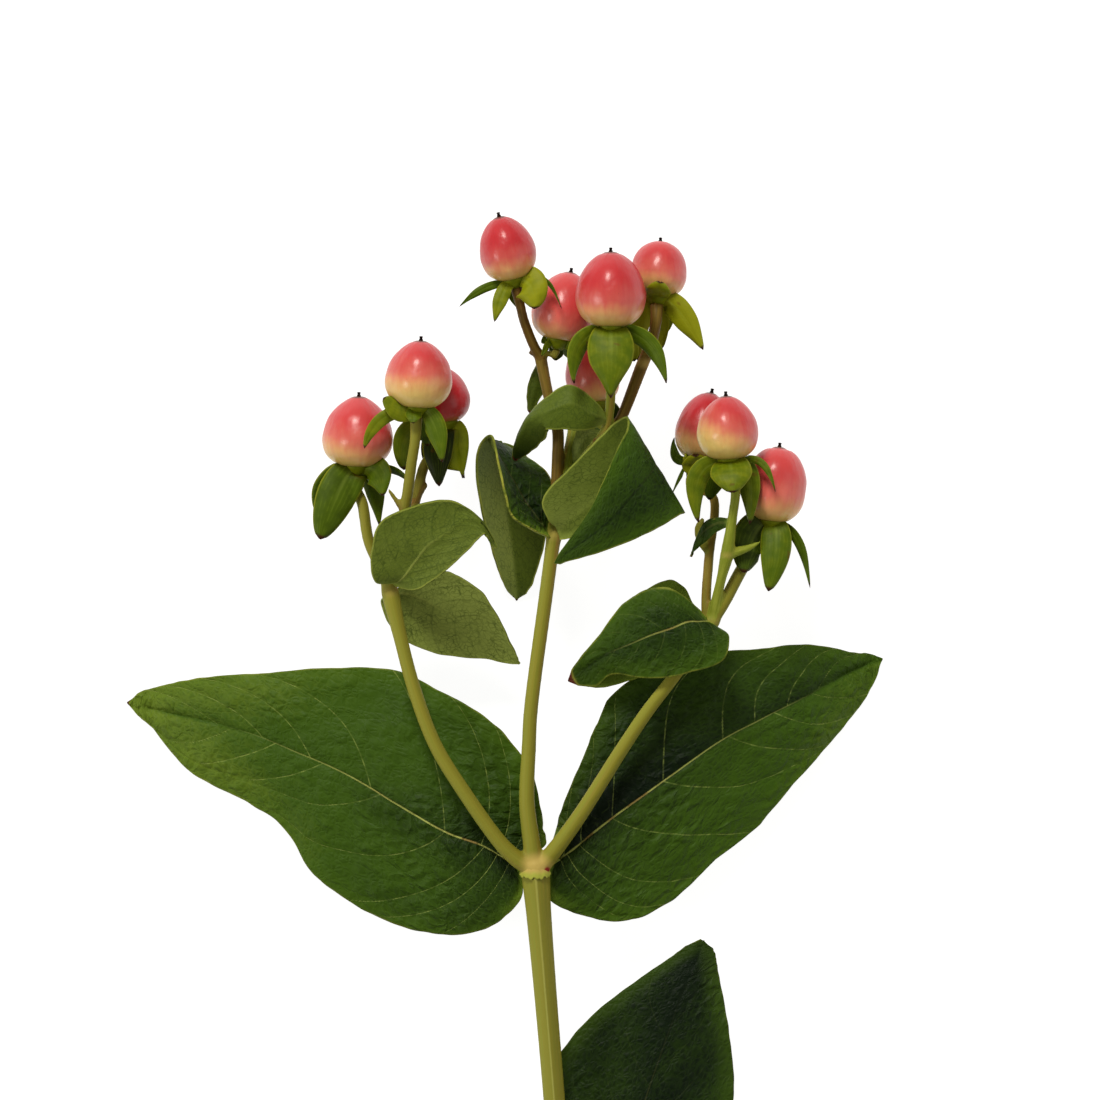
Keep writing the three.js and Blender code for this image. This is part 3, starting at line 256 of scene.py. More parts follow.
# ---- berries: base, tip and radius, the stalk as [x, y, z, radius], and the sepals, measured from the
# berry's base, as [turning point, tip, width, turn in degrees, tone, taper of the tip]; a tone runs
# from brown (-1.3) over dark green (-1) to yellow green (1) ----
# A sepal's tone is partly its own colour and partly painted light and shade: sepals that lie in shadow
# are given paler tones.
BERRIES = {
    "left_low": {
        "base": [-28.2, 63.4, 16], "tip": [-27.9, 74.3, 16.5], "radius": 5.55,
        "stalk": [[-23.1, 44, 15, 1], [-24.6, 47.7, 15.4, 0.95], [-26.4, 51.8, 15.8, 0.9],
            [-27.3, 57.3, 16, 0.9]],
        "sepals": [
            [[-5, -2.5, 0.5], [-6.1, -7.3, 1], 5.2, -35, -0.5, 0.3],
            [[-3.1, -3.5, 3.2], [-5.7, -11.5, 3], 6.4, -8, -0.25, 0],
            [[3.7, 0.3, 3], [4, -4.7, 3.4], 4.8, 15, 0.1, 0.6],
            [[2.9, -1.9, -1.5], [3.4, -9.3, -2], 3.4, 20, 0.1, 0.8],
            [[5.1, 0.6, 1], [8.5, -2.7, 2.4], 2, 50, -0.6, 0.3],
        ],
    },
    "left_front": {
        "base": [-18.7, 72.5, 24], "tip": [-18.1, 82.9, 24.3], "radius": 5.2,
        "stalk": [[-23.1, 44, 15, 1], [-22, 50.2, 17.3, 0.92], [-20.6, 56.7, 20.3, 0.9],
            [-19.6, 63.6, 22.8, 0.86]],
        "sepals": [
            [[-2.6, -0.6, 2.2], [-5.2, 1.5, 2.4], 4.2, 10, 0.5, 0.4],
            [[-6.9, -0.9, 1.5], [-8.2, -6.4, 0.6], 2.2, -10, 0.5, 0.3],
            [[-0.6, -0.9, 2], [-0.6, -2.5, 2.6], 2.6, 0, 0.2, 0.3],
            [[3.3, -1.9, 1.8], [3.9, -8.6, 1.6], 3.5, 10, 0.1, 0.6],
            [[1.1, -1.9, -2.6], [1.6, -6, -3.4], 3.4, 180, -0.6, 0.3],
        ],
    },
    "left_back": {
        "base": [-14.3, 70.2, 15], "tip": [-15.7, 79, 14.5], "radius": 4.35,
        "stalk": [[-22.9, 44.3, 15, 0.9], [-20.9, 51.8, 15.3, 0.8], [-19, 58.2, 15.5, 0.85],
            [-17.3, 64.1, 15.5, 0.85]],
        "sepals": [
            [[1.4, -1.6, 0.8], [2.2, -8.8, 1.4], 4.4, 10, 0.6, 0.35],
            [[-1.6, -2.7, 3], [-1, -10, 3.2], 5, 0, -1, 0.6],
            [[-8, -0.2, 1.6], [-6.4, -7.4, 1.4], 4.2, -20, 0.3, 0.1],
            [[-1, -2.5, -2.5], [-1.5, -6.1, -3.5], 5.5, 180, -1.3, 0.3],
            [[-2.2, -2.7, -3.4], [-2.8, -6.8, -4], 4, 200, -0.9, 0.3],
        ],
    },
    "center_left": {
        "base": [-3.6, 92.6, 24.6], "tip": [-5.9, 102.2, 25.6], "radius": 4.25,
        "stalk": [[0.6, 80.4, 18.5, 0.8], [-0.6, 82.4, 19.6, 0.8], [-2, 86, 21.6, 0.78]],
        "sepals": [
            [[-5, -0.9, 0.6], [-8.5, -4.4, 0.4], 1.4, -10, -0.1, 1],
            [[-2.2, -2.5, 2.4], [-3, -6.8, 2.2], 2.4, 0, 0.6, 0.7],
            [[3.2, -0.3, 2.8], [3.1, -4.8, 2.6], 5.6, 10, 0.9, 0.1],
            [[5.3, 1.9, 1], [7.5, -4.7, 1.6], 0.9, 30, -0.2, 1],
            [[0.2, -2, -2.6], [0.8, -4.6, -3.2], 2.6, 180, 0, 0.3],
        ],
    },
    "center_back": {
        "base": [3.4, 83.1, 19], "tip": [5.3, 93.7, 18.6], "radius": 4.95,
        "stalk": [[0.5, 80.6, 18.5, 0.6], [1.3, 81.2, 18.7, 0.5]],
        "sepals": [
            [[-1.9, -0.6, 1.6], [-2.7, -2.6, 2], 1.2, -20, 0.3, 0.5],
            [[2.4, -0.9, 1.5], [2.9, -2.8, 1.6], 2, 40, 0.2, 0.5],
            [[1.6, -1.1, -2.2], [1.8, -3, -3], 2.4, 150, -0.3, 0.5],
            [[-0.4, -1.8, -2], [-0.5, -3.2, -3.2], 2.4, 180, -0.3, 0.5],
            [[-1.8, 0.3, 0.4], [-2.7, -0.5, 0.4], 1.8, 0, 0.2, 0.5],
        ],
    },
    "center_front": {
        "base": [11.5, 85.1, 27], "tip": [11.5, 96.7, 27], "radius": 5.55,
        "stalk": [[2.8, 54, 15.6, 1], [3.9, 58.9, 16.4, 0.9], [6.8, 63.6, 17.8, 0.9],
            [9.9, 67.5, 19.6, 0.9], [11, 69.9, 20.6, 0.8], [11.5, 73.8, 22.3, 0.78],
            [11.5, 78.5, 24.6, 0.75]],
        "sepals": [
            [[0, -2.7, 4.4], [0, -11.3, 3.4], 7.3, 0, 0.32, 1],
            [[-6.6, -1.9, 1], [-5.6, -8.9, 1.6], 3.4, -30, 0.3, 0.8],
            [[7.2, -1.3, 1], [8.6, -8.9, 1.6], 3.2, 30, 0, 0.8],
            [[3.2, -2.2, -3], [3.4, -5.4, -3.8], 4.2, 140, 0.9, 0.3],
            [[-2.5, -2.4, -3.4], [-2.4, -5.8, -4.2], 3.8, 220, 0.6, 0.3],
        ],
    },
    "center_right": {
        "base": [18.8, 90, 21.2], "tip": [19.3, 98.4, 19], "radius": 4.35,
        "stalk": [[9.6, 67.2, 19.4, 0.85], [11.8, 69.4, 19.8, 0.88], [13.3, 71.1, 20, 0.88],
            [16.3, 78.8, 20.2, 1], [17.8, 82.4, 20.5, 0.92]],
        "sepals": [
            [[0, 0, 4.4], [0.4, 2, 5.2], 4, 0, 0.7, 0],
            [[3.8, -1.9, 0.8], [7.1, -8.5, 1], 4, 12, 1, 0.7],
            [[-3.6, -0.5, -1.4], [-2.9, -10.2, -2.7], 4.4, -10, 1.3, 0.3],
            [[1.5, -2.4, -3], [1.2, -5.6, -4], 4, 150, 0.5, 0.3],
            [[0.5, -3.3, -3.4], [0.7, -8.3, -3.6], 3, 180, 1.3, 0.3],
        ],
    },
    "center_low": {
        "base": [9.9, 73.3, 8], "tip": [7.8, 83.7, 6.6], "radius": 4.9,
        "stalk": [[3, 55, 15.6, 0.8], [4.3, 61.5, 16, 0.9], [5.3, 67, 15.2, 0.9],
            [6.6, 71, 12.5, 0.9]],
        "sepals": [
            [[-3, 0.2, 1], [-3.8, -2.6, 1], 2.6, -20, -0.8, 0.3],
            [[-0.9, -1.1, 3.2], [-2.2, -3.2, 3.2], 3.2, 0, -0.8, 0.3],
            [[3, -1, 0], [3.2, -4.4, -0.4], 3, 30, -0.8, 0.3],
            [[1.9, -2.7, -3], [2.5, -5.8, -3.6], 3.4, 160, -0.8, 0.3],
            [[-2.5, -2, -3], [-3.1, -5.2, -3.4], 3.4, 200, -0.8, 0.3],
        ],
    },
    "right_back": {
        "base": [25.1, 64.5, 13], "tip": [27.4, 74.9, 12.6], "radius": 4.35,
        "stalk": [[26.8, 38.6, 16, 0.9], [26.5, 42.4, 15.4, 0.8], [27, 49.5, 14.6, 0.78],
            [27.8, 58.1, 13.8, 0.74]],
        "sepals": [
            [[-4.4, -0.9, 0.4], [-3.5, 3.4, 0], 1.7, -25, -0.4, 0.5],
            [[0, -1.2, 2.2], [-0.2, 0.5, 3.6], 4.8, 0, 0.85, 0],
            [[-2, -1.1, 1], [-4.1, -5.9, 0.8], 0.7, 0, -0.3, 1],
            [[3, -1.4, 0.4], [3.5, -4.2, 0.2], 3, 30, -0.2, 0.3],
            [[0.2, -2.4, -2.8], [0.5, -6.1, -3.6], 3.8, 180, -0.3, 0.3],
        ],
    },
    "right_front": {
        "base": [30.5, 64.5, 22], "tip": [29.5, 74.3, 22.4], "radius": 4.8,
        "stalk": [[27.3, 38.9, 16, 1], [28.1, 42.4, 17, 0.85], [28.9, 46, 18.6, 0.8],
            [29.7, 49.5, 19.8, 1.05], [30.5, 55, 21.2, 0.78]],
        "sepals": [
            [[0.3, -1.4, 4.2], [0.5, -5.3, 4.6], 6.6, 0, 0.4, 0.2],
            [[-6.8, -1.1, 1], [-4.7, -9.9, 1.2], 3.6, -20, 0.35, 0.5],
            [[6, 1.3, 1.4], [7.2, -5.2, 2.2], 1.3, 20, 0.2, 1],
            [[3.8, -1.4, -0.6], [3.2, -10.2, -0.9], 3.8, 15, 0.3, 0.6],
            [[-2.4, -2.4, -3], [-3, -6.4, -4], 4, 200, -0.3, 0.3],
        ],
    },
    "right_low": {
        "base": [37.4, 54.8, 16], "tip": [38, 66.4, 16], "radius": 4.4,
        "stalk": [[27.6, 39.2, 16, 0.95], [29.4, 42.2, 16.2, 1], [32, 47.1, 16.4, 1],
            [34.4, 50.6, 15.8, 0.95]],
        "sepals": [
            [[-3.6, -1.9, 2], [-4.2, -8.1, 2.7], 6.4, -15, -0.6, 0.2],
            [[1.4, -3, 3.6], [-0.5, -11, 3.4], 4.9, 0, 0.15, 0.2],
            [[4.7, -0.8, 0.6], [6.1, -10.5, 1], 1.7, 25, -0.3, 0.8],
            [[-3, -1.4, -2.6], [-3.6, -5.8, -3.6], 3.8, 200, -0.6, 0.3],
            [[1, -3, -2.8], [0.8, -6.4, -3.8], 3.8, 150, -0.4, 0.3],
        ],
    },
}
# The outline of a berry from base to tip: [share of the length, share of the radius].
BERRY_OUTLINE = [[0.03, 0], [0, 0.38], [0.05, 0.65], [0.17, 0.89], [0.36, 1], [0.54, 0.95],
                 [0.72, 0.8], [0.86, 0.57], [0.96, 0.3], [1, 0.1], [DIMPLE, 0]]

# ---- how each piece is dressed ----
# The side veins of a half leaf from base to tip, each [start along the rib, slope, bend].
MAIN_LEFT = [[0.05, 0.19, 0.25], [0.125, 0.17, 0.4], [0.182, 0.21, 0.22], [0.3, 0.17, 0.6],
             [0.438, 0.17, 0.8], [0.545, 0.2, 0.1], [0.642, 0.17, 0.1], [0.73, 0.15, 0.1]]
MAIN_RIGHT = [[0.07, 0.13, 0.4], [0.13, 0.14, 0.4], [0.196, 0.14, 0.4], [0.3, 0.2, 0.05],
              [0.455, 0.18, 0.25], [0.57, 0.17, 0.2], [0.67, 0.16, 0.2], [0.76, 0.15, 0.1]]
OTHER_LEFT = [[0.05, 0.13, 0.4], [0.15, 0.14, 0.4], [0.278, 0.11, 0.45], [0.398, 0.13, 0.5],
              [0.51, 0.16, 0.2], [0.575, 0.16, 0.2], [0.655, 0.15, 0.2], [0.74, 0.15, 0.1]]
OTHER_RIGHT = [[0.04, 0.13, 0.5], [0.075, 0.17, 0.4], [0.14, 0.24, 0.15], [0.278, 0.23, 0.1],
               [0.398, 0.2, 0.4], [0.52, 0.19, 0.1], [0.62, 0.17, 0.1], [0.72, 0.15, 0.1]]
PLAIN = [[start, 0.16, 0.35] for start in (0.06, 0.16, 0.28, 0.42, 0.56, 0.7)]
# Each leaf's faces along and across, how far each half swells (mm), the side veins left and right of
# its rib, the tones of its upper side and its underside, and how strongly veins, rib and rim show.
# A tone runs from dark (-1) to pale (1): one number, or ((left half's base, its tip), (right half's
# base, its tip)).
# These tones are partly each leaf's own colour and partly painted light and shade: a half that lies in
# shadow or turns from the light is given a darker tone, and a leaf lying in the shadow of others is given
# a paler one.
LEAVES = {
    "leaf_main_left": {
        "faces": (190, 120), "swell": 0.8, "veins": (MAIN_LEFT, MAIN_RIGHT),
        "upper": ((-0.65, 1.5), (-0.6, 1.3)), "under": 0.2, "shows": (0.7, 0.9, 0.35)},
    "leaf_main_right": {
        "faces": (180, 120), "swell": 0.8, "veins": (OTHER_LEFT, OTHER_RIGHT),
        "upper": ((-1.2, 0.3), (-0.5, 0.9)), "under": 0.2, "shows": (0.6, 0.8, 0.2)},
    "leaf_lower_left": {
        "faces": (130, 80), "swell": 0.8, "veins": (OTHER_LEFT, MAIN_RIGHT),
        "upper": ((-0.15, 0.3), (0.1, 0.4)), "under": 0.2, "shows": (0.5, 0.7, 0.3)},
    "leaf_lower_right": {
        "faces": (130, 80), "swell": 0.35, "veins": (MAIN_LEFT, MAIN_RIGHT),
        "upper": ((-0.8, -0.95), (-0.7, -0.9)), "under": 0.0, "shows": (0.04, 0.08, 0.1)},
    "leaf_left_front": {
        "faces": (90, 60), "swell": 0.3, "veins": (PLAIN, PLAIN),
        "upper": 0.2, "under": ((0.35, 0.45), (0.35, 0.45)), "shows": (0.6, 1.0, 0.5)},
    "leaf_left_back": {
        "faces": (80, 60), "swell": 0.3, "veins": (PLAIN, PLAIN),
        "upper": 0.0, "under": ((0.9, 1.6), (1.3, 1.6)), "shows": (0.6, 0.9, 0.4)},
    "leaf_center_left": {
        "faces": (120, 60), "swell": 0.2, "veins": (PLAIN, PLAIN),
        "upper": ((-0.4, -0.4), (-0.6, -0.6)), "under": ((1.2, 1.7), (0.3, 0.2)),
        "shows": (0.2, 0.08, 1.0)},
    "leaf_center_right": {
        "faces": (120, 60), "swell": 0.2, "veins": (PLAIN, PLAIN),
        "upper": ((-0.25, -0.4), (-0.1, -0.4)), "under": ((0.5, -1.0), (0.9, -2.0)),
        "shows": (0.03, 0.05, 0.6)},
    "leaf_top_rolled": {
        "faces": (90, 60), "swell": 0.2, "veins": (PLAIN, PLAIN),
        "upper": ((0.0, -0.7), (0.0, -0.9)), "under": ((0.1, -0.9), (0.05, -0.9)),
        "shows": (0.1, 0.1, 0.4)},
    "leaf_top_hanging": {
        "faces": (40, 24), "swell": 0.1, "veins": (PLAIN, PLAIN),
        "upper": -0.4, "under": -0.3, "shows": (0.1, 0.1, 0.2)},
    "leaf_top_small": {
        "faces": (40, 24), "swell": 0.1, "veins": (PLAIN, PLAIN),
        "upper": 0.6, "under": 1.0, "shows": (0.1, 0.1, 0.05)},
    "leaf_right_small": {
        "faces": (40, 24), "swell": 0.1, "veins": (PLAIN, PLAIN),
        "upper": -0.6, "under": 0.0, "shows": (0.05, 0.1, 0.4)},
    "leaf_right_front": {
        "faces": (100, 60), "swell": 0.3, "veins": (PLAIN, PLAIN),
        "upper": ((-0.4, -0.4), (-0.3, -0.3)), "under": 0.3, "shows": (0.14, 0.7, 0.5)},
    "leaf_right_back": {
        "faces": (80, 60), "swell": 0.3, "veins": (PLAIN, PLAIN),
        "upper": 1.4, "under": 0.3, "shows": (0.05, 0.1, 0.4)},
}
# Where a margin swings out (+) or in (-) from its even line, in mm: [share along the rib, mm], for the
# left half and the right half.
PINCHED = [[0, 0], [0.3, -0.5], [0.7, -0.4], [1, 0]]
MARGINS = {
    "leaf_main_left": (
        [[0, 0], [0.15, 0], [0.35, 0.35], [0.45, 0.4], [0.5, 0.4], [0.55, 0.9], [0.59, 0.3],
         [0.63, -0.35], [0.68, -0.1], [0.75, 0.4], [0.85, 0.35], [0.9, -0.1], [0.95, 0.25], [1, 0.2]],
        [[0, 0], [0.1, 0.2], [0.16, -0.7], [0.22, -0.2], [0.28, 0.8], [0.35, 0.7], [0.4, 0.1],
         [0.45, -0.4], [0.5, 0.15], [0.6, 0.25], [0.67, -0.35], [0.75, -0.15], [0.87, -0.1],
         [0.95, 0.3], [1, 0.1]]),
    "leaf_main_right": (
        [[0, 0], [0.1, 0.7], [0.15, 0.3], [0.22, 0.3], [0.33, -0.05], [0.4, 0], [0.45, 0.8],
         [0.6, 0.3], [0.67, -0.3], [0.72, 0.1], [0.77, 0.4], [0.82, 0.2], [0.87, -0.25], [0.92, 0.1],
         [1, -0.2]],
        [[0, 0], [0.12, 0.4], [0.22, 0.3], [0.3, -0.25], [0.37, 0.55], [0.42, -0.2], [0.46, -0.75],
         [0.5, -0.1], [0.55, 0.8], [0.62, 0.05], [0.75, 0.2], [0.85, 0.4], [0.95, 0.4], [1, 0.1]]),
    "leaf_lower_right": (
        [[0, 0], [0.6, 0.3], [0.7, 0.1], [0.85, 0], [0.95, 0.5], [1, 0.4]],
        [[0, 0], [1, 0.1]]),
    "leaf_right_small": (PINCHED, PINCHED),
    "leaf_right_front": (
        [[0, 0], [0.8, 0.3], [0.87, 0.9], [0.93, 0.4], [1, 0]],
        [[0, 0], [0.12, 0], [0.2, 0.9], [0.3, 1.3], [0.4, 1.0], [0.5, 0.2], [1, 0.2]]),
}
# How far a folded leaf is rounded over its rib, from a sharp fold (0) to an even arch (1).
ROUNDED = {"leaf_top_rolled": 0.8}
# How far the brown of a dry tip reaches back (mm); the other leaves end green.
DRY_TIPS = {
    "leaf_main_left": 0.5, "leaf_right_front": 0.8, "leaf_top_rolled": 0.9, "leaf_center_left": 0.6,
    "leaf_right_small": 0.7, "leaf_top_hanging": 0.5,
}
# How each berry looks: height where cream turns red, how deep the red is, how much higher the cream
# reaches on the left, how blunt the tip is, how wide it is, and how far its base sits to the left (mm).
# The depth of red is partly painted light and shade: a berry in its neighbour's shadow is given a lighter
# red.
BERRY_LOOKS = {
    "left_low": (0.27, 0.3, 0.08, 0.0, 1.0, 0.0),
    "left_front": (0.42, 0.4, 0.03, 0.2, 1.0, 0.0),
    "left_back": (-0.15, 1.0, 0.0, 0.2, 1.0, 0.0),
    "center_left": (0.24, 0.85, 0.03, 0.25, 1.03, 0.0),
    "center_back": (0.1, -0.2, 0.1, 0.3, 1.0, 0.0),
    "center_front": (0.22, 0.7, 0.03, 0.35, 0.985, 0.0),
    "center_right": (0.24, 0.3, 0.05, 0.9, 1.0, 0.0),
    "center_low": (0.2, 0.2, 0.0, 0.3, 0.86, 0.5),
    "right_back": (0.28, 1.1, 0.05, 0.3, 1.0, 0.0),
    "right_front": (0.42, 0.45, 0.25, 0.15, 1.0, 0.5),
    "right_low": (0.26, 0.1, 0.0, 0.9, 1.1, 0.7),
}
# Tone of the stem's shoots, stalks and bracts, from fresh green (-1) over olive (0) to brown (1).
SHOOT_TONES = (0.0, 0.1, 0.0, 0.0, 0.7)
STALK_TONES = {
    "left_low": 0.2, "left_front": 0.25, "left_back": 0.4,
    "center_left": 0.9, "center_back": 0.3, "center_front": -0.7, "center_right": 0.8,
    "center_low": -0.95, "right_back": 0.35, "right_front": -0.8, "right_low": -0.1,
}
BRACT_TONES = (0.4, 0.7, 1.0, -0.9, -0.1)
# Where a joint shows paler: [place, its reach (mm), strength].
JOINTS = [
    [(-0.1, 0.9, 12.4), 3.3, 0.9], [(16.6, 79.4, 20.2), 1.5, 0.5], [(29.7, 49.5, 19.8), 1.2, 0.4],
    [(-23, 43.6, 15), 1.6, 0.35], [(27.3, 38.9, 16), 1.6, 0.3], [(2.7, 52.6, 15.5), 1.8, 0.4],
]
RED_SPOT = (1.6, 0.1)  # a red fleck beside the main fork, from above

# ---- relief of a main leaf's blade, in mm; leaves that swell less have less of it ----
MAIN_SWELL = 0.8
PUFF = 0.1  # the blade between two side veins
VEIN_GROOVE = 0.06
RIB_GROOVE = 0.2
WAVE = 0.3
CRUMPLE = 0.14
QUILT = 0.26  # the cushions between the finest veins
QUILT_CELLS = 0.42  # cushions to a millimetre
RAGGED = 0.14  # how far a margin wavers

# ---- finishes: red, green and blue from 0 to 255 ----
LEAF_DARK, LEAF_GREEN, LEAF_PALE = (9, 24, 4), (54, 78, 17), (96, 114, 36)
LEAF_MARGIN, LEAF_FOOT, LEAF_NET = (70, 96, 18), (112, 138, 44), (104, 128, 54)
LEAF_VEIN, LEAF_RIB, LEAF_RED_RIB = (140, 154, 80), (154, 160, 84), (116, 70, 46)
LEAF_RIM, LEAF_YELLOW_TIP, LEAF_BROWN_TIP = (144, 146, 58), (140, 134, 56), (74, 36, 24)
UNDER_DARK, UNDER_GREEN, UNDER_PALE = (34, 46, 6), (80, 94, 30), (126, 138, 66)
UNDER_MESH, UNDER_VEIN, UNDER_FOOT = (48, 64, 18), (44, 60, 16), (132, 146, 64)
UNDER_RIB, UNDER_RIM, UNDER_TIP = (134, 142, 68), (146, 152, 66), (84, 44, 28)
RED, DEEP_RED = (190, 66, 66), (166, 34, 42)
PINK, DEEP_PINK = (198, 100, 86), (178, 72, 68)
BLUSH, BLUSH_STREAK = (204, 146, 98), (198, 134, 92)
CREAM, CREAM_STREAK = (206, 178, 106), (198, 168, 94)
BERRY_FOOT, BERRY_SPECK, BERRY_RING = (140, 118, 44), (104, 40, 34), (90, 44, 30)
SEPAL_DARK, SEPAL_GREEN, SEPAL_YELLOW = (28, 40, 3), (68, 86, 6), (126, 128, 18)
SEPAL_WITHERED, SEPAL_STRIPE, SEPAL_RIB = (70, 50, 12), (118, 136, 44), (136, 152, 66)
SEPAL_RIM, SEPAL_FOOT, SEPAL_BLOTCH = (140, 140, 40), (92, 80, 18), (84, 52, 18)
SEPAL_TIP = (52, 28, 12)
# painted light and shade: the olive of a shoot is lighter on its lit flank and darker on its shaded one
OLIVE_SHADED_FLANK, OLIVE_LIT_FLANK, OLIVE_STREAK = (108, 107, 34), (126, 129, 50), (132, 118, 42)
BROWN, BROWN_STREAK = (82, 58, 22), (108, 84, 36)
FRESH, FRESH_STREAK = (108, 120, 32), (132, 140, 52)
STEM_BLUSH, STEM_RIDGE, COLLAR = (150, 100, 54), (170, 168, 92), (146, 150, 60)
JOINT_PALE, FLECK_RED = (174, 150, 82), (128, 36, 30)
STYLE_BLACK, STYLE_BROWN = (6, 4, 4), (30, 18, 12)
TABLE_GREY = (120, 120, 120)

# ---- the table and the light, in metres and watts ----
TABLE_REACH = 3.0
TABLE_GLOW = 0.93
ROOM_TINT = (1.0, 0.95, 0.82, 1)
ROOM_LIGHT = 0.36
LAMP_TINT = (1.0, 0.97, 0.9)
# Each lamp's width, its power and its place.
LAMPS = {
    "key": (0.32, 10.0, (-0.2, 0.8, 0.75)),
    "side": (0.36, 3.5, (-0.85, -0.1, 0.6)),
    "fill": (0.9, 1.8, (0.85, 0.0, 0.5)),
}


# ---- shared helpers ----
class Path:
    """A smooth line through points, counted evenly from 0 to 1."""

    def __init__(self, points):
        points = np.array(points, float)
        first, last = 2 * points[0] - points[1], 2 * points[-1] - points[-2]
        self.points = np.vstack([first, points, last])

    def at(self, share):
        spans = len(self.points) - 3
        place = np.clip(np.asarray(share, float), 0, 1) * spans
        span = np.minimum(place.astype(int), spans - 1)
        part = (place - span)[..., None]
        before, start, end, after = (self.points[span + step] for step in range(4))
        leave, arrive = (end - before) / 2, (after - start) / 2
        square = 3 * (end - start) - 2 * leave - arrive
        cube = 2 * (start - end) + leave + arrive
        return start + part * (leave + part * (square + part * cube))

    def ahead(self, share, step=0.002):
        return unit(self.at(share + step) - self.at(share - step))


def unit(vectors):
    return vectors / np.maximum(np.linalg.norm(vectors, axis=-1, keepdims=True), 1e-9)


def smooth(value, low, high):
    """0 at low and 1 at high, smooth between; low may be the larger."""
    share = np.clip((value - low) / (high - low), 0, 1)
    return share * share * (3 - 2 * share)


def run_length(points):
    """Length of the line through the points' x, y and z."""
    steps = np.diff(np.array(points, float)[:, :3], axis=0)
    return np.linalg.norm(steps, axis=1).sum()


def facing_up(ahead):
    """The direction nearest to straight up that is square to each of the given directions."""
    up = np.array([0.0, 0.0, 1.0])
    return unit(up - ahead * (ahead @ up)[..., None])


def rough_at(points, scale, shift=0.0):
    """Smooth noise at each of the points, from about -1 to 1."""
    moved = Vector((shift, 0, 0))
    return np.array([noise.noise(Vector(point) * scale + moved) for point in points])


def grid(bm, rows, cols):
    """A flat grid; returns its corners with their places along (0 to 1) and across (-1 to 1)."""
    made = bmesh.ops.create_grid(bm, x_segments=cols, y_segments=rows, size=1.0)
    corners = made["verts"]
    flat = np.array([corner.co for corner in corners])
    return corners, (flat[:, 1] + 1) / 2, flat[:, 0]


def place(corners, points):
    """Moves corners to points that are given in mm from the fork."""
    for corner, point in zip(corners, (points + FORK) * MM):
        corner.co = point


def faces_on(corners):
    return list(dict.fromkeys(face for corner in corners for face in corner.link_faces))


def turned(bm, outline, steps):
    """Spins an outline of [out, up] points about the upright axis, and closes its poles."""
    corners = [bm.verts.new((out, 0, up)) for out, up in outline]
    edges = [bm.edges.new(pair) for pair in zip(corners, corners[1:])]
    bmesh.ops.spin(bm, geom=corners + edges, cent=(0, 0, 0), axis=(0, 0, 1), angle=2 * math.pi,
                   steps=steps, use_merge=True)
    bmesh.ops.remove_doubles(bm, verts=bm.verts, dist=1e-4)
    bmesh.ops.recalc_face_normals(bm, faces=bm.faces)


def blank(*names):
    """An empty mesh whose corners each hold three numbers under every one of the names."""
    bm = bmesh.new()
    for name in names:
        bm.verts.layers.float_vector.new(name)
    return bm


def write(bm, corners, **values):
    """Stores three numbers a corner under a name, for the materials to read."""
    for name, columns in values.items():
        layer = bm.verts.layers.float_vector[name]
        rows = np.column_stack([np.broadcast_to(column, len(corners)) for column in columns])
        for corner, row in zip(corners, rows):
            corner[layer] = row


def add(name, data):
    made = bpy.data.objects.new(name, data)
    bpy.context.scene.collection.objects.link(made)
    return made


def meshed(name, bm):
    mesh = bpy.data.meshes.new(name)
    bm.to_mesh(mesh)
    bm.free()
    return mesh


def piece(name, bm, material, slot, *nodes):
    """Makes the finished piece, which rides on the body and stands for its CAD nodes."""
    mesh = meshed(f"{name}_fine", bm)
    mesh.shade_smooth()
    mesh.materials.append(material)
    made = add(f"{name}_fine", mesh)
    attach(made, "root")
    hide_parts(*nodes)
    return made


# ---- materials ----
class Number:
    """A value inside a material; arithmetic on it adds Math nodes."""

    def __init__(self, paint, socket):
        self.paint = paint
        self.socket = socket

    def __add__(self, other):
        return self.paint.math("ADD", self, other)

    def __sub__(self, other):
        return self.paint.math("SUBTRACT", self, other)

    def __rsub__(self, other):
        return self.paint.math("SUBTRACT", other, self)

    def __mul__(self, other):
        return self.paint.math("MULTIPLY", self, other)

    def __abs__(self):
        return self.paint.math("ABSOLUTE", self)

    __radd__ = __add__
    __rmul__ = __mul__

    def step(self, low, high):
        """0 at low and 1 at high, smooth between; low may be the larger."""
        settings = {"interpolation_type": "SMOOTHSTEP"}
        sockets = {"Value": self, "From Min": low, "From Max": high}
        return Number(self.paint, self.paint.node("ShaderNodeMapRange", settings, sockets).outputs[0])


